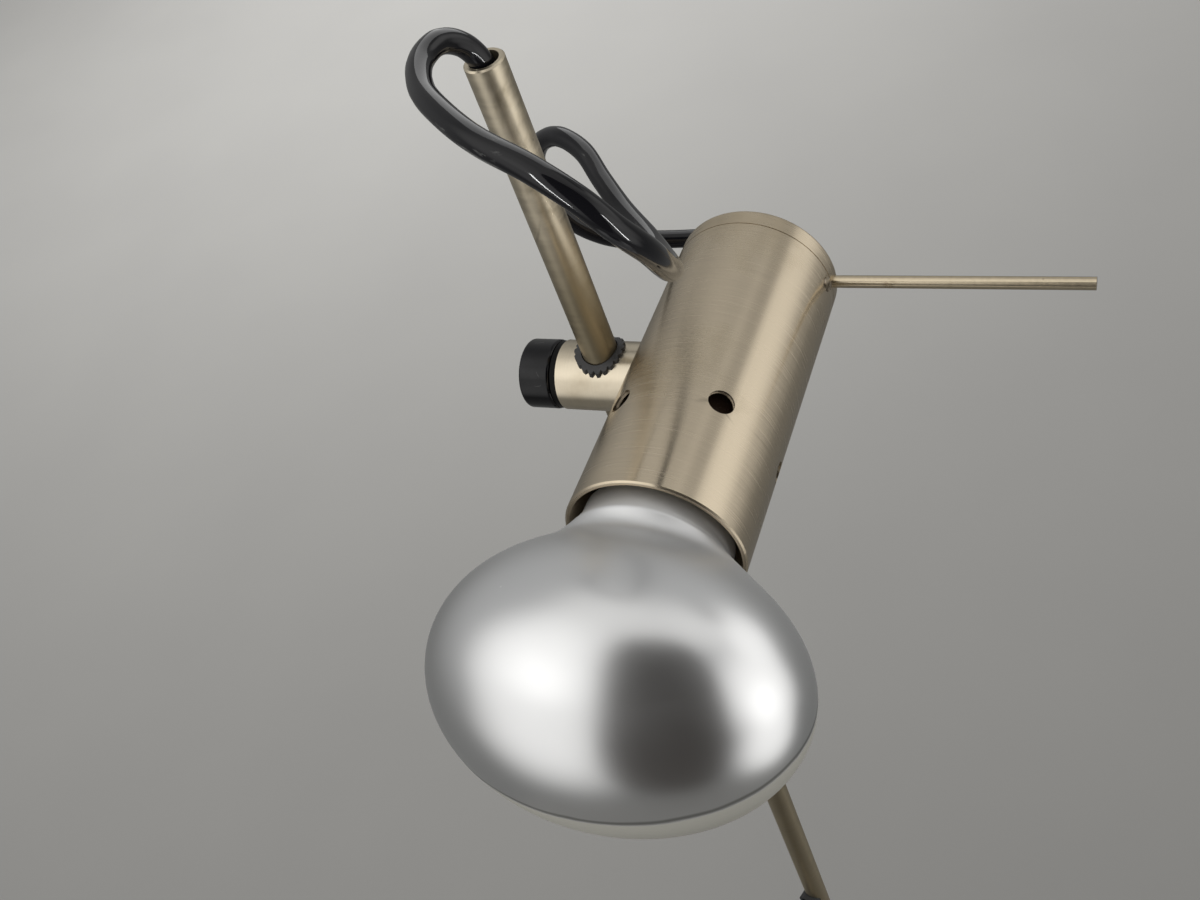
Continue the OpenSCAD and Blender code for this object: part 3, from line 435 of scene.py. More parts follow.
# %% Cord tree
CORD_D = 0.0057
cord_sweep, source, result = new_group(
    "cord_sweep", "GeometryNodeTree",
    [("Geometry", "geometry"), ("Diameter", "float"), ("Sides", "int"), ("Finish", "material")],
    [("Geometry", "geometry")])
path = add(cord_sweep, "GeometryNodeMeshToCurve", {0: source.outputs["Geometry"]})
length = add(cord_sweep, "GeometryNodeSplineParameter").outputs["Length"]
marked = add(cord_sweep, "GeometryNodeStoreNamedAttribute",
             {"Geometry": path.outputs[0], "Name": "cord_along", "Value": length},
             data_type="FLOAT", domain="POINT")
section = add(cord_sweep, "GeometryNodeCurvePrimitiveCircle", {
    "Resolution": source.outputs["Sides"],
    "Radius": maths(cord_sweep, "DIVIDE", source.outputs["Diameter"], 2.0)})
around = add(cord_sweep, "GeometryNodeStoreNamedAttribute",
             {"Geometry": section.outputs[0], "Name": "cord_round",
              "Value": add(cord_sweep, "GeometryNodeInputPosition").outputs[0]},
             data_type="FLOAT_VECTOR", domain="POINT")
swept = add(cord_sweep, "GeometryNodeCurveToMesh",
            {0: marked.outputs[0], 1: around.outputs[0], "Fill Caps": True})
far = add(cord_sweep, "GeometryNodeInputNamedAttribute", {"Name": "cord_along"}, data_type="FLOAT")
turned = add(cord_sweep, "GeometryNodeInputNamedAttribute", {"Name": "cord_round"},
             data_type="FLOAT_VECTOR")
split = add(cord_sweep, "ShaderNodeSeparateXYZ", {0: turned.outputs[0]})
spot = add(cord_sweep, "ShaderNodeCombineXYZ",
           {"X": far.outputs[0], "Y": split.outputs["X"], "Z": split.outputs["Y"]})
stored = add(cord_sweep, "GeometryNodeStoreNamedAttribute",
             {"Geometry": swept.outputs[0], "Name": CORD_PLACE, "Value": spot.outputs[0]},
             data_type="FLOAT_VECTOR", domain="POINT")
close_tree(cord_sweep, stored.outputs[0], source, result)
print("tree", cord_sweep.name)

# %% Cord helpers
SHARP = math.radians(60)
CUT_SLACK = 0.0002


def smooth_line(points, step=0.0015):
    """Points on one smooth curve through the route's points, about a step apart."""
    route = [Vector(p) * MM for p in points]
    ends = [2 * route[0] - route[1]] + route + [2 * route[-1] - route[-2]]
    line = []
    for a, b, c, d in zip(ends, ends[1:], ends[2:], ends[3:]):
        count = max(2, round((c - b).length / step))
        for i in range(count):
            t = i / count
            line.append(0.5 * (2 * b + (c - a) * t + (2 * a - 5 * b + 4 * c - d) * t ** 2
                               + (3 * b - a - 3 * c + d) * t ** 3))
    return line + [route[-1]]


def line_length(line):
    return sum((b - a).length for a, b in zip(line, line[1:]))


def grow(name, points, tree, values):
    """A mesh made by a Geometry Nodes tree from a chain of points, kept as a plain mesh."""
    mesh = bpy.data.meshes.new(name)
    mesh.from_pydata(points, [(i, i + 1) for i in range(len(points) - 1)], [])
    piece = put(name, mesh)
    modifier = piece.modifiers.new("grow", "NODES")
    modifier.node_group = tree
    for socket in tree.interface.items_tree:
        if socket.in_out == "INPUT" and socket.name in values:
            modifier[socket.identifier] = values[socket.name]
    graph = bpy.context.evaluated_depsgraph_get()
    made = bpy.data.meshes.new_from_object(piece.evaluated_get(graph), depsgraph=graph)
    piece.modifiers.clear()
    piece.data = made
    made.name = name
    bpy.data.meshes.remove(mesh)
    return piece


def cord_piece(name, line, sides=16):
    """A whole cord along a line."""
    piece = grow(name, line, cord_sweep, {"Diameter": CORD_D, "Sides": sides, "Finish": cord_black})
    piece.data.set_sharp_from_angle(angle=SHARP)
    return piece


def cut_length(name, whole, start, stop):
    """The part of a swept cord from start to stop metres along it, closed at both ends."""
    mesh = whole.data.copy()
    mesh.name = name
    part = bmesh.new()
    part.from_mesh(mesh)
    place_on_cord = part.verts.layers.float_vector[CORD_PLACE]
    outside = [v for v in part.verts if not start - CUT_SLACK < v[place_on_cord].x < stop + CUT_SLACK]
    bmesh.ops.delete(part, geom=outside, context="VERTS")
    bmesh.ops.holes_fill(part, edges=[e for e in part.edges if e.is_boundary])
    part.to_mesh(mesh)
    part.free()
    mesh.set_sharp_from_angle(angle=SHARP)
    return put(name, mesh)


print("cord diameter", CORD_D)

# %% [markdown]
# ### The loop in the air
# The cord comes out of the stem's open top, swings round the stem and goes into the middle of the cap. It
# has to follow the height, the swivel and the tilt, and one piece can bend over one joint only, so it is
# swept as a whole and then cut into lengths that meet ring on ring, which hides the cuts. Here the last
# length is attached to the head, and the other three stay where they are drawn.

# %% Loop from the stem's top to the cap
CAP_END = 44.9
GLAND_T = 4.5
CORD_MM = CORD_D / MM


def head_point(s):
    """A point on the head's axis, s millimetres in front of the tilt axis."""
    tilt = math.radians(HEAD_TILT)
    return (HEAD_X / MM, -s * math.cos(tilt), JOINT_H / MM + s * math.sin(tilt))


loop_route = [
    (0, 0, 526), (0, 0, 537), (-2, -2, 545), (-4, -8, 550), (-4, -17, 551), (1, -27, 551), (10, -36, 551),
    (21, -44, 550), (33, -49, 547), (42, -51, 541), (47, -50, 533), (49, -44, 522), (46, -34, 509),
    (41, -22, 497), (32, -7, 487), (23, 5, 483), (12, 17, 482), (3, 27, 484), (-5, 36, 487), (-15, 43, 487),
    (-24, 47, 482), (-30, 50, 472), (-32, 53, 459), (-28, 55, 446), (-19, 59, 436), (-7, 65, 430),
    (6, 69, 427), (19, 69, 428), (28, 64, 431), head_point(-(CAP_END + GLAND_T + CORD_MM)),
    head_point(-(CAP_END + GLAND_T)), head_point(-CAP_END)]
loop_line = smooth_line(loop_route, step=0.001)


def nearest(line, point):
    spot = Vector(point) * MM
    return min(range(len(line)), key=lambda i: (line[i] - spot).length)


CUTS_AT = (8, 13, 18)
first_cut, second_cut, third_cut = [nearest(loop_line, loop_route[i]) for i in CUTS_AT]
whole_loop = cord_piece("whole_loop", loop_line)
for name, node, first, last, low_body, high_body in (
        ("cord_loop_stem", "cord_loop_stem", 0, first_cut, "stand", "liner"),
        ("cord_loop_turn", "cord_loop_turn", first_cut, second_cut, "liner", "barrel"),
        ("cord_loop_lift", "cord_loop_turn", second_cut, third_cut, "barrel", "head"),
        ("cord_loop_head", "cord_loop_head", third_cut, len(loop_line) - 1, "head", "head")):
    line = loop_line[first:last + 1]
    start = line_length(loop_line[:first + 1])
    piece = cut_length("dressed_" + name, whole_loop, start, start + line_length(line))
    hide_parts(node)
    if low_body == high_body:
        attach(piece, high_body)
    else:
        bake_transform(piece)
    print(piece.name, round(line_length(line), 3), "m", len(piece.data.polygons), "faces")
bpy.data.meshes.remove(whole_loop.data)

# %% [markdown]
# ### The lead on the table
# The lead leaves the stem through a grommet low on its side and lies on the table. It passes the
# in-line switch, and the length that the picture doesn't show is wound into a neat coil in two
# layers, with the plug beside it.

# %% Lead, coil and plug
EXIT_H = 67
exit_turn = math.radians(250)
exit_dir = Vector((math.cos(exit_turn), math.sin(exit_turn), 0))
SEAM_Z = 8
CORD_Z = 3
COIL_Y = -105
COIL_TURNS = 4
CLIMB_TURNS = 0.5
TOP_TURNS = 2.5
COIL_IN_R = 21.5
COIL_STEP = 6.25
COIL_TOP_Z = 9.2
STEM_R = 5
GROMMET_FACE = 7.5
exit_point = Vector((0, 0, EXIT_H))
lead_route = [
    exit_point + STEM_R * exit_dir, exit_point + (GROMMET_FACE + CORD_MM) * exit_dir, (-7.5, -19, 65.5),
    (-12, -25, 60.5), (-17, -29, 52.5), (-21, -31, 42.5), (-24.5, -31.5, 32), (-28.5, -31.5, 22),
    (-34, -31, 13), (-42, -30.5, 6.5), (-52, -31, CORD_Z), (-62, -33, CORD_Z), (-71, -38.5, 4.5),
    (-77.5, -45.5, 6.5), (-80, -53.3, SEAM_Z), (-80, -63, SEAM_Z)]
link_route = [
    (-80, -119, SEAM_Z), (-80, -128.7, SEAM_Z), (-78, -138, 6), (-72, -149, CORD_Z), (-62, -157, CORD_Z),
    (-49, -160, CORD_Z), (-36, -158, CORD_Z), (-22, -154, CORD_Z), (-13, -151.5, CORD_Z),
    (-5.7, -151.5, CORD_Z)]
tail_route = [
    (5.7, -142.125, COIL_TOP_Z), (16, -143, COIL_TOP_Z), (28, -144, COIL_TOP_Z), (40, -142, COIL_TOP_Z),
    (51, -136, 8), (59, -127, 7), (62, -117.7, 7), (62, -108, 7)]


def coil_point(turn):
    """The coil spirals in on the table, climbs in half a turn and spirals out on top."""
    past = turn - COIL_TURNS
    climb = min(max(past / CLIMB_TURNS, 0), 1)
    if past < 0:
        r = COIL_IN_R - COIL_STEP * past
    elif past < CLIMB_TURNS:
        r = COIL_IN_R - COIL_STEP * min(past, CLIMB_TURNS - past)
    else:
        r = COIL_IN_R + COIL_STEP * (past - CLIMB_TURNS)
    a = 2 * math.pi * turn - math.pi / 2
    return (r * math.cos(a), COIL_Y + r * math.sin(a), CORD_Z + climb * (COIL_TOP_Z - CORD_Z))


RINGS_A_TURN = 24
coil_rings = round((COIL_TURNS + CLIMB_TURNS + TOP_TURNS) * RINGS_A_TURN)
coil_route = [coil_point(i / RINGS_A_TURN) for i in range(coil_rings + 1)]
lead_line = smooth_line(lead_route)
rest_line = smooth_line(link_route + coil_route + tail_route, step=0.003)
lead = cord_piece("dressed_cord_lead", lead_line)
rest = cord_piece("dressed_cord_coil", rest_line, sides=12)
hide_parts("cord_lead")
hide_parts("cord_link", "cord_coil", "cord_tail")
print("lead points", len(lead_line), "coil points", len(rest_line))

# %% [markdown]
# ### Strain relief and tie
# Where a lead goes into a housing, a ribbed rubber sleeve keeps it from bending sharply. A sleeve
# follows its cord, so Geometry Nodes sweep a circle along the cord's own line and change its size on
# the way: it gets thinner away from the housing, and a sine wave makes the ribs.

# %% Sleeve tree
sleeve_sweep, source, result = new_group(
    "sleeve_sweep", "GeometryNodeTree",
    [("Geometry", "geometry"), ("Near", "float"), ("Far", "float"), ("Ribs", "float"), ("Rib", "float"),
     ("Finish", "material")], [("Geometry", "geometry")])
path = add(sleeve_sweep, "GeometryNodeMeshToCurve", {0: source.outputs["Geometry"]})
share = add(sleeve_sweep, "GeometryNodeSplineParameter").outputs["Factor"]
taper = add(sleeve_sweep, "ShaderNodeMapRange", {"Value": share, "To Min": source.outputs["Near"],
                                                 "To Max": source.outputs["Far"]}).outputs["Result"]
angle = maths(sleeve_sweep, "MULTIPLY", share, 2 * math.pi)
turns = maths(sleeve_sweep, "MULTIPLY", angle, source.outputs["Ribs"])
wave = maths(sleeve_sweep, "MULTIPLY", maths(sleeve_sweep, "SINE", turns), source.outputs["Rib"])
section = add(sleeve_sweep, "GeometryNodeCurvePrimitiveCircle", {"Resolution": 20, "Radius": 1.0})
swept = add(sleeve_sweep, "GeometryNodeCurveToMesh", {
    0: path.outputs[0], 1: section.outputs[0], "Scale": maths(sleeve_sweep, "ADD", taper, wave),
    "Fill Caps": True})
close_tree(sleeve_sweep, swept.outputs[0], source, result)
print("tree", sleeve_sweep.name)

# %% Sleeves at the switch and the plug
SLEEVE_IN = 0.0028
SLEEVE_OUT = 0.0255
sleeve_sizes = {"Near": 0.0040, "Far": 0.0032, "Ribs": 9.0, "Rib": 0.00022, "Finish": rubber}


def stretch_of(line, start, stop):
    """The part of a line from start to stop metres along it."""
    gone = 0.0
    part = []
    for a, b in zip(line, line[1:]):
        if start <= gone <= stop:
            part.append(a)
        gone += (b - a).length
    return part


sleeves = {}
for name, line in (("sleeve_lead", smooth_line(lead_route, 0.0004)[::-1]),
                   ("sleeve_link", smooth_line(link_route, 0.0004)),
                   ("sleeve_plug", smooth_line(tail_route, 0.0004)[::-1])):
    part = stretch_of(line, SLEEVE_IN, SLEEVE_OUT)
    sleeve = grow(name, part, sleeve_sweep, sleeve_sizes)
    sleeve.data.set_sharp_from_angle(angle=SHARP)
    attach(sleeve, "stand")
    sleeves[name] = sleeve
    print(name, round(line_length(part), 4), "m")

# %% Tie round the coil
TIE_WIDE = 5.0
TIE_T = 0.6
TIE_STEPS = 96
LEAST_Z = 0.03
TIE_AT = 0.75
crossings = [coil_point(k + TIE_AT) for k in range(math.floor(coil_rings / RINGS_A_TURN))]


def tie_point(a, out, y):
    """A strap drawn tight: in each direction it lies on the cord that reaches furthest that way."""
    x = math.cos(a)
    z = math.sin(a)
    cord = max(crossings, key=lambda c: c[0] * x + c[2] * z)
    r = CORD_MM / 2 + out
    return Vector((cord[0] + r * x, y, max(cord[2] + r * z, LEAST_Z * (1 + out)))) * MM


def loft(name, rings, closed=False):
    """A skin over rings of points. If it isn't closed on itself, the last ring gets a cap."""
    skin = bmesh.new()
    rows = [[skin.verts.new(spot) for spot in ring] for ring in rings]
    following = rows[1:] + rows[:1] if closed else rows[1:]
    for near, next_row in zip(rows, following):
        for k in range(len(near)):
            m = (k + 1) % len(near)
            skin.faces.new((near[k], near[m], next_row[m], next_row[k]))
    if not closed:
        skin.faces.new(rows[-1])
    bmesh.ops.recalc_face_normals(skin, faces=skin.faces)
    mesh = bpy.data.meshes.new(name)
    skin.to_mesh(mesh)
    skin.free()
    return put(name, mesh)


corners = ((0, -1), (TIE_T, -0.9), (TIE_T, 0.9), (0, 1))
angles = [2 * math.pi * i / TIE_STEPS for i in range(TIE_STEPS)]
rings = [[tie_point(a, out, COIL_Y + side * TIE_WIDE / 2) for out, side in corners] for a in angles]
tie = loft("coil_tie", rings, closed=True)
tie.data.materials.append(slider_plastic)
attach(tie, "stand")
print("tie round", len(crossings), "turns")

for piece, line, end, lay, pieces in (
        (lead, lead_line, "fitting", "loose", ["switch_bottom", "switch_top", sleeves["sleeve_lead"]]),
        (rest, rest_line, "plug", "coiled", ["plug_body", "plug_pin_left", "plug_pin_right", tie,
                                             sleeves["sleeve_link"], sleeves["sleeve_plug"]])):
    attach(piece, "stand")
    print(piece.name, round(line_length(line), 3), "m")

# %% [markdown]
# ## The bulb
# The bulb is a flattened globe that hangs a little below its neck. Its upper half is silvered inside,
# so that the light goes down, and its lower half is frosted. It is lofted from ellipses along the
# head's axis with the CAD model's own rule, only in finer steps, because a mirror shows every facet.

# %% Bulb glass
BULB_MID = 92.3
BULB_LONG = 33.9
BULB_WIDE = 47.5
BULB_HIGH = 38.0
BULB_DROP = 8.7
BULB_SHIFT = 1.0
SHIFT_LEN = 16.0
BELLY_LEN = 4.0
NECK_R = 19.5
NECK_START_R = 12.6
GLASS_S = 40.4
NECK_FLARE_S = 47.4
NECK_FULL_S = 54.4
HEAD_FRONT = 58.0
NECK_FADE_S = 62.0
CROWN_POWER = 6


def ease(x):
    t = min(max(x, 0.0), 1.0)
    return t * t * (3 - 2 * t)


def soft_max(a, b):
    return (a ** CROWN_POWER + b ** CROWN_POWER) ** (1 / CROWN_POWER)


def neck_radius(s):
    if s < NECK_FADE_S:
        flare = ease((s - NECK_FLARE_S) / (NECK_FULL_S - NECK_FLARE_S))
        return NECK_START_R + (NECK_R - NECK_START_R) * flare
    return NECK_R * max(0.0, (BULB_MID - s) / (BULB_MID - NECK_FADE_S))


def bulb_section(s):
    """Half width, upper height and lower height of the bulb at s millimetres along the head."""
    share = math.sqrt(max(0.0, 1 - ((s - BULB_MID) / BULB_LONG) ** 2))
    neck = neck_radius(s)
    wide = soft_max(neck, BULB_WIDE * share)
    up = BULB_HIGH * share - BULB_DROP
    low = BULB_HIGH * share + BULB_DROP
    if s < BULB_MID:
        up = soft_max(neck, max(up, 0.0))
        low = soft_max(neck, low * ease((s - HEAD_FRONT) / BELLY_LEN))
    return wide, up, low


head_frame = Matrix.Translation(head_centre) @ Matrix.Rotation(math.radians(90 - HEAD_TILT), 4, "X")
print("bulb", 2 * BULB_WIDE, "mm wide")

# %% Bulb mesh
BULB_SIDES = 96
NECK_RINGS = 16
BODY_RINGS = 90
first_a = math.radians(20)
last_a = math.radians(176)
body_start = BULB_MID - BULB_LONG * math.cos(first_a)
stations = [GLASS_S + i * (body_start - GLASS_S) / NECK_RINGS for i in range(NECK_RINGS)]
stations += [BULB_MID - BULB_LONG * math.cos(first_a + i * (last_a - first_a) / BODY_RINGS)
             for i in range(BODY_RINGS + 1)]
rings = []
for s in stations:
    wide, up, low = bulb_section(s)
    aside = -BULB_SHIFT * ease((s - HEAD_FRONT) / SHIFT_LEN)
    ring = []
    for k in range(BULB_SIDES):
        a = 2 * math.pi * k / BULB_SIDES
        spot = Vector((aside + wide * math.cos(a), (up - low) / 2 + (up + low) / 2 * math.sin(a), s)) * MM
        ring.append(head_frame @ spot)
    rings.append(ring)
glass = loft("dressed_bulb_glass", rings)
glass.data.shade_smooth()
print("bulb faces", len(glass.data.polygons))

# %% [markdown]
# The silver is a soft mirror. A mask splits it from the frosted glass along a level line on the
# bulb's side, with a slightly uneven edge. The mask drives Metallic, so one shader gives both.

# %% Bulb finish
SILVER_EDGE = -0.0128
EDGE_SOFT = 0.0006
PAINTED_BAND_W = 0.0012
EDGE_WOBBLE = 0.002
SHOULDER_END = 0.0983
SHOULDER_DULL = 0.22
bulb_silver, tree, shader = new_finish("bulb_silver")
here = place(tree, head_centre, head_turn)
parts = add(tree, "ShaderNodeSeparateXYZ", {0: here})
wobble = maths(tree, "SUBTRACT", noise(tree, here, 60.0, 2.0), 0.5)
edge = maths(tree, "ADD", parts.outputs["Y"], maths(tree, "MULTIPLY", wobble, EDGE_WOBBLE))
silvered = ramp(tree, edge, SILVER_EDGE - EDGE_SOFT, SILVER_EDGE + EDGE_SOFT)
haze = noise(tree, here, 45.0, 3.0)
specks = effect(tree, pits, Vector=here, Density=110.0, Size=0.05, Spared=0.85)
mirror = blend_colour(tree, haze, (0.77, 0.775, 0.78), (0.73, 0.735, 0.74))
mirror = blend_colour(tree, specks, mirror, (0.95, 0.95, 0.95))
# Painted reflection: a thin dark band is painted into the silver just above its edge, in place of the dark
# reflection seen there.
from_painted_band = maths(tree, "ABSOLUTE", maths(tree, "SUBTRACT", edge, SILVER_EDGE + PAINTED_BAND_W))
mirror = blend_colour(tree, ramp(tree, from_painted_band, 0.0, PAINTED_BAND_W, 0.75, 0.0), mirror, (0.2, 0.2, 0.19))
tree.links.new(blend_colour(tree, silvered, (0.5, 0.49, 0.44), mirror), shader.inputs["Base Color"])
tree.links.new(silvered, shader.inputs["Metallic"])
satin = ramp(tree, haze, 0.3, 0.7, 0.28, 0.305)
far_out = maths(tree, "ABSOLUTE", parts.outputs["Z"])
shoulder = ramp(tree, far_out, NECK_FADE_S * MM, SHOULDER_END, SHOULDER_DULL, 0.0)
satin = maths(tree, "ADD", satin, shoulder)
frosted = maths(tree, "SUBTRACT", 1.0, silvered)
satin = maths(tree, "ADD", satin, maths(tree, "MULTIPLY", frosted, 0.2))
tree.links.new(satin, shader.inputs["Roughness"])
shader.inputs["Coat Weight"].default_value = 0.12
shader.inputs["Coat Roughness"].default_value = 0.3
glass.data.materials.append(bulb_silver)
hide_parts("bulb_glass")
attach(glass, "head")
print("finish", bulb_silver.name)

# %% [markdown]
# ## Finishes on the CAD pieces
# The other CAD solids already have the right shape, so they stay and only get a finish. Each piece
# is listed once, under the finish that the real one has.

# %% Give every CAD piece its finish
finish_of = {
    head_nickel: ["head_tube", "end_cap"], barrel_nickel: ["barrel"], rod_nickel: ["aiming_rod"],
    stem_nickel: ["stem"], clamp_nickel: ["clamp_bracket", "stem_socket", "clamp_foot", "clamp_spindle"],
    screw_steel: ["socket_screw", "socket_grub", "cap_screw_1", "cap_screw_2", "cap_screw_3", "knob_stud",
                  "pivot_washer", "pivot_nut", "nipple", "nipple_nut", "plug_pin_left", "plug_pin_right",
                  "bulb_contact"],
    brass: ["holder_shell", "holder_contact", "bulb_base"], gloss_black: ["lock_knob", "clamp_knob"],
    bush_plastic: ["bush_top", "bush_bottom"], ring_black: ["knob_ring"],
    black_plastic: ["switch_bottom", "switch_top", "plug_body", "bulb_insulator"],
    slider_plastic: ["switch_slider"], holder_brown: ["holder_body"],
    nylon: ["stem_liner", "pressure_pad"],
    rubber: ["jaw_pad", "foot_pad", "cord_grommet", "cord_gland"], cord_black: ["cord_riser"]}
for finish, names in finish_of.items():
    for name in names:
        nodes[name].data.materials.clear()
        nodes[name].data.materials.append(finish)
dressed = sum(len(names) for names in finish_of.values())
print("CAD pieces with a finish", dressed)

# %% [markdown]
# ## The clamp's screw and hand knob
# The CAD spindle is a plain bar that is as thick as the thread's crest. The real one is a rolled
# screw: a core with a round ridge that winds up it. The hand knob has ribs for the fingers. Both repeat
# by a rule, so each is a small Geometry Nodes tree with its sizes as inputs.

# %% Thread
THREAD_PITCH = 0.0015
THREAD_RIDGE = 0.0006
screw_thread, source, result = new_group(
    "screw_thread", "GeometryNodeTree",
    [("Geometry", "geometry"), ("Core", "float"), ("Ridge", "float"), ("Pitch", "float"), ("Tall", "float"),
     ("Middle", "vector"), ("Finish", "material")], [("Geometry", "geometry")])
tall = source.outputs["Tall"]
winding = add(screw_thread, "GeometryNodeCurveSpiral", {
    "Resolution": 28, "Rotations": maths(screw_thread, "DIVIDE", tall, source.outputs["Pitch"]),
    "Start Radius": source.outputs["Core"], "End Radius": source.outputs["Core"], "Height": tall})
section = add(screw_thread, "GeometryNodeCurvePrimitiveCircle",
              {"Resolution": 8, "Radius": source.outputs["Ridge"]})
ridge = add(screw_thread, "GeometryNodeCurveToMesh",
            {0: winding.outputs[0], 1: section.outputs[0], "Fill Caps": True})
sunk = add(screw_thread, "ShaderNodeCombineXYZ", {"Z": maths(screw_thread, "MULTIPLY", tall, -0.5)})
centred = add(screw_thread, "GeometryNodeTransform",
              {"Geometry": ridge.outputs[0], "Translation": sunk.outputs[0]})
core = add(screw_thread, "GeometryNodeMeshCylinder", {
    "Vertices": 28, "Radius": source.outputs["Core"],
    "Depth": maths(screw_thread, "ADD", tall, source.outputs["Ridge"])})
both = add(screw_thread, "GeometryNodeJoinGeometry")
screw_thread.links.new(centred.outputs[0], both.inputs[0])
screw_thread.links.new(core.outputs[0], both.inputs[0])
set_there = add(screw_thread, "GeometryNodeTransform",
                {"Geometry": both.outputs[0], "Translation": source.outputs["Middle"]})
close_tree(screw_thread, set_there.outputs[0], source, result)
low, high = [Vector(corner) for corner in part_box("clamp_spindle")]
spindle = grow("dressed_clamp_spindle", [low], screw_thread, {
    "Core": (high.x - low.x) / 2 - THREAD_RIDGE, "Ridge": THREAD_RIDGE, "Pitch": THREAD_PITCH,
    "Tall": high.z - low.z - 2 * THREAD_RIDGE, "Middle": (low + high) / 2, "Finish": clamp_nickel})
spindle.data.set_sharp_from_angle(angle=SHARP)
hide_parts("clamp_spindle")
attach(spindle, "spindle")
print("thread turns", round((high.z - low.z) / THREAD_PITCH))

# %% Finger ribs
finger_ribs, source, result = new_group(
    "finger_ribs", "GeometryNodeTree",
    [("Geometry", "geometry"), ("Count", "int"), ("Ring", "float"), ("Rib", "vector"), ("Middle", "vector"),
     ("Finish", "material")], [("Geometry", "geometry")])
ring = add(finger_ribs, "GeometryNodeMeshCircle",
           {"Vertices": source.outputs["Count"], "Radius": source.outputs["Ring"]})
bead = add(finger_ribs, "GeometryNodeMeshUVSphere", {"Segments": 10, "Rings": 10, "Radius": 1.0})
set_round = add(finger_ribs, "GeometryNodeInstanceOnPoints", {
    "Points": ring.outputs[0], "Instance": bead.outputs[0], "Scale": source.outputs["Rib"]})
set_there = add(finger_ribs, "GeometryNodeTransform",
                {"Geometry": set_round.outputs[0], "Translation": source.outputs["Middle"]})
close_tree(finger_ribs, set_there.outputs[0], source, result)
RIB_COUNT = 24
RIB_R = 0.0014
RIB_HALF = 0.0072
RIB_PROUD = 0.0005
low, high = [Vector(corner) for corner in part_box("clamp_knob")]
ribs = grow("clamp_knob_ribs", [low], finger_ribs, {
    "Count": RIB_COUNT, "Ring": (high.x - low.x) / 2 - RIB_R + RIB_PROUD,
    "Rib": (RIB_R, RIB_R, RIB_HALF), "Middle": (low + high) / 2, "Finish": gloss_black})
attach(ribs, "spindle")
print("ribs", len(ribs.data.polygons), "faces")

# %% [markdown]
# ## Stage and light
# The lamp grips a small round table top, and a pale floor lies far below. A mirror bulb shows the whole
# room, so the room is painted into the world: a pale ceiling, a dimmer horizon, and wide soft windows
# left and right of the camera. One lamp lights the far floor, and three light only the cords. A dark
# curved card behind the camera shows only in reflections, as a mirror needs something dark to mirror.

# %% Table top and floor
TABLE_R = 0.350
TABLE_T = 0.030
LEG_R = 0.08
FLOOR_R = 6.0
FLOOR_T = 0.1
SOFT_EDGE = 0.002
table_centre = (0.074, -0.338)
FLOOR_Z = -0.72


def stage_disc(name, r, low, high, centre):
    """A round slab with softened edges."""
    build = bmesh.new()
    bmesh.ops.create_cone(build, cap_ends=True, segments=128, radius1=r, radius2=r, depth=high - low)
    bmesh.ops.translate(build, verts=build.verts, vec=(*centre, (low + high) / 2))
    mesh = bpy.data.meshes.new(name)
    build.to_mesh(mesh)
    build.free()
    slab = put(name, mesh)
    soft = slab.modifiers.new("soft", "BEVEL")
    soft.width = SOFT_EDGE
    soft.segments = 3
    mesh.shade_smooth()
    slab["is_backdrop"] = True
    return slab


stage_paint, tree, shader = new_finish("stage_paint")
mottle = noise(tree, place(tree), 3.0, 3.0)
paint = blend_colour(tree, mottle, (0.186, 0.184, 0.178), (0.205, 0.203, 0.195))
tree.links.new(paint, shader.inputs["Base Color"])
shader.inputs["Roughness"].default_value = 0.9
for name, r, low, high, centre in (
        ("table_top", TABLE_R, -TABLE_T, 0.0, table_centre),
        ("table_leg", LEG_R, FLOOR_Z, -TABLE_T, table_centre),
        ("floor", FLOOR_R, FLOOR_Z - FLOOR_T, FLOOR_Z, (0.0, 0.0))):
    slab = stage_disc(name, r, low, high, centre)
    slab.data.materials.append(stage_paint)
    slab.visible_glossy = name != "floor"
print("stage ready")

# %% Lights
bulb_middle = Vector((0.031, -0.092, 0.431))


def heading(turn, rise):
    """A direction. turn runs from +Y towards +X and rise is above level, both in degrees."""
    a = math.radians(turn)
    e = math.radians(rise)
    return Vector((math.sin(a) * math.cos(e), math.cos(a) * math.cos(e), math.sin(e)))


floor_glow = bpy.data.lights.new("floor_glow", "AREA")
floor_glow.size = 2.6
floor_glow.energy = 120.0
floor_lamp = put("floor_lamp", floor_glow)
floor_lamp.location = (-1.6, 2.6, 1.1)
floor_lamp.visible_glossy = False
print("lamp", floor_lamp.name)

# %% Lamps for the cord's glints and sheen
cords = bpy.data.collections.new("cords")
for piece in bpy.data.objects:
    if piece.name.startswith("dressed_cord"):
        cords.objects.link(piece)
GLINT_FAR = 0.6
loop_middle = Vector((0.042, -0.05, 0.54))
for name, turn, rise, wide, tall, power in (
        ("glint_left", -153, 3, 0.025, 0.62, 2.6), ("glint_right", 113, -18, 0.025, 0.6, 2.4),
        ("sheen", -10, 28, 0.5, 0.6, 1.4)):
    glow = bpy.data.lights.new(name, "AREA")
    glow.shape = "RECTANGLE"
    glow.size = wide
    glow.size_y = tall
    glow.energy = power
    strip = put(name, glow)
    towards = heading(turn, rise)
    strip.location = loop_middle + GLINT_FAR * towards
    strip.rotation_euler = towards.to_track_quat("Z", "Y").to_euler()
    strip.light_linking.receiver_collection = cords

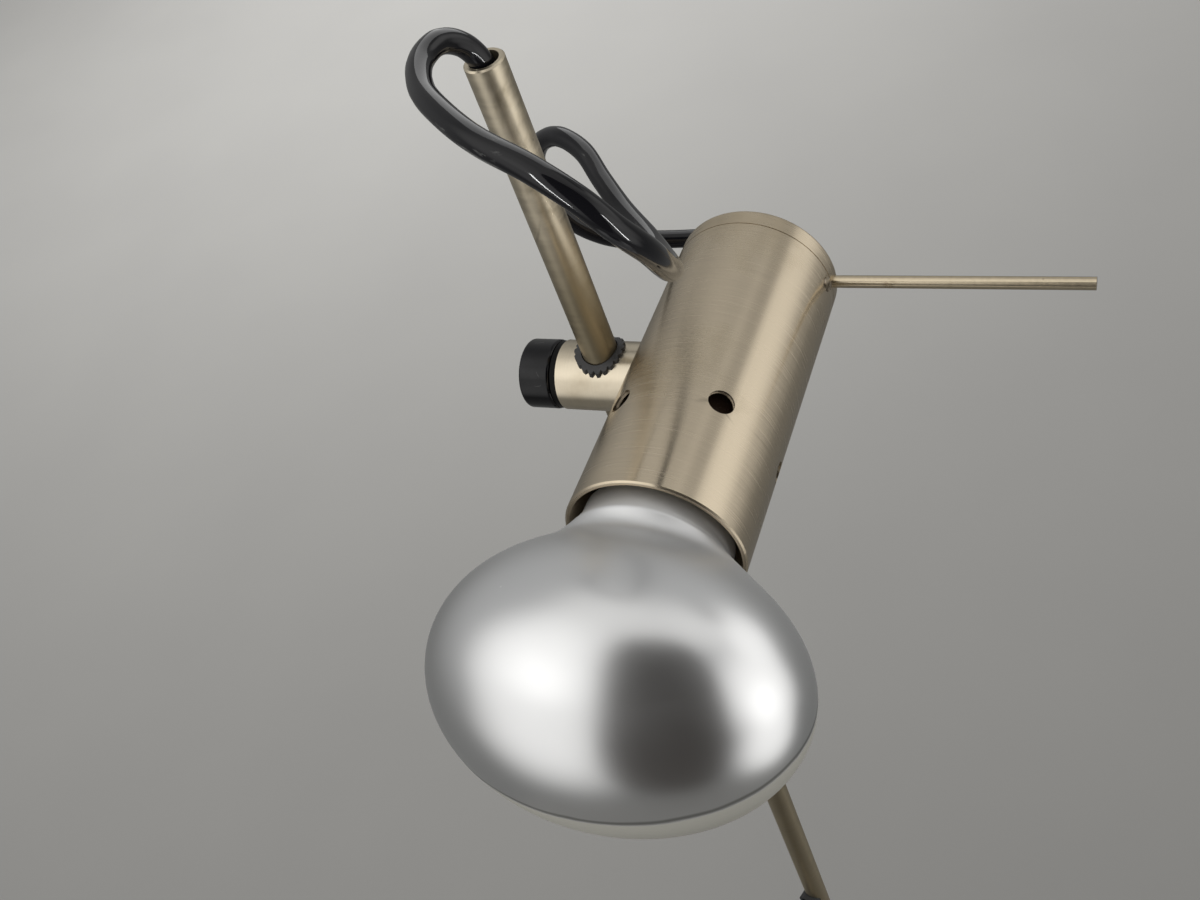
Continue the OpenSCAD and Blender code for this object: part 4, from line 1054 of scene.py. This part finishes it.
# %% The room in the world
world = bpy.data.worlds.new("studio_air")
world.use_nodes = True
tree = world.node_tree
looking = add(tree, "ShaderNodeTexCoord").outputs["Generated"]
sky = add(tree, "ShaderNodeSeparateXYZ", {0: looking}).outputs["Z"]
air = blend_colour(tree, ramp(tree, sky, -0.5, 0.4), (0.17, 0.17, 0.165), (0.45, 0.45, 0.445))
air = blend_colour(tree, ramp(tree, sky, 0.7, 0.98), air, (0.88, 0.87, 0.85))
windows = {
    "left_high": (-138, 42, 14, 50, 1.25), "left_low": (-155, 2, 6, 42, 1.08),
    "left_core": (-141, 38, 2, 20, 1.5), "right_side": (86, 0, 10, 42, 1.25),
    "right_low": (106, -29, 6, 28, 1.2), "right_mid": (51, 14, 8, 25, 1.25),
    "right_high": (52, 48, 5, 24, 0.88), "right_core": (93, -4, 2, 20, 1.6),
    "dim_patch": (36, 32, 3, 11, 0.33)}
for turn, rise, inner, outer, glow in windows.values():
    facing = add(tree, "ShaderNodeVectorMath", {0: looking, 1: heading(turn, rise)},
                 operation="DOT_PRODUCT").outputs["Value"]
    window = ramp(tree, facing, math.cos(math.radians(outer)), math.cos(math.radians(inner)))
    air = blend_colour(tree, window, air, (glow, 0.99 * glow, 0.97 * glow))
tree.links.new(air, tree.nodes["Background"].inputs["Color"])
bpy.context.scene.world = world
bpy.context.scene.view_settings.view_transform = "Standard"
print("world", world.name)

# %% Dark card
CARD_FAR = 0.38
CARD_HALF = (31, 57)
CARD_ROLL = 20
CARD_STEPS = 24
card_middle = heading(147.5, 24)
card_side = card_middle.cross(Vector((0, 0, 1))).normalized()
card_up = card_side.cross(card_middle)


def card_point(a, b):
    """A point of the card. a and b run from -1 to 1 and are drawn in towards a rounded outline."""
    longest = max(abs(a), abs(b)) or 1.0
    round_in = longest / (abs(a) ** 3 + abs(b) ** 3) ** (1 / 3) if a or b else 1.0
    across = CARD_HALF[0] * a * round_in
    up = CARD_HALF[1] * b * round_in
    roll = math.radians(CARD_ROLL)
    x = across * math.cos(roll) - up * math.sin(roll)
    y = across * math.sin(roll) + up * math.cos(roll)
    away = math.radians(math.hypot(x, y))
    flat = (x * card_side + y * card_up).normalized() if away else card_side
    return bulb_middle + CARD_FAR * (math.cos(away) * card_middle + math.sin(away) * flat)


spread = [2 * i / CARD_STEPS - 1 for i in range(CARD_STEPS + 1)]
card_mesh = bpy.data.meshes.new("dark_card")
card_mesh.from_pydata(
    [card_point(a, b) for b in spread for a in spread], [],
    [(k, k + 1, k + CARD_STEPS + 2, k + CARD_STEPS + 1) for k in range(CARD_STEPS * (CARD_STEPS + 1))
     if k % (CARD_STEPS + 1) < CARD_STEPS])
card = put("dark_card", card_mesh)
card_black, tree, shader = new_finish("card_black")
shader.inputs["Base Color"].default_value = (0.045, 0.038, 0.033, 1.0)
shader.inputs["Roughness"].default_value = 1.0
card_mesh.materials.append(card_black)
card.visible_camera = False
card.visible_shadow = False
card.visible_diffuse = False
card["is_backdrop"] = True
print("card faces", len(card_mesh.polygons))

# %% [markdown]
# ## The size after dressing
# The lamp's size with every dressed piece in it is printed below.

low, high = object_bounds()
print("dressed size", [round(b - a, 4) for a, b in zip(low, high)])
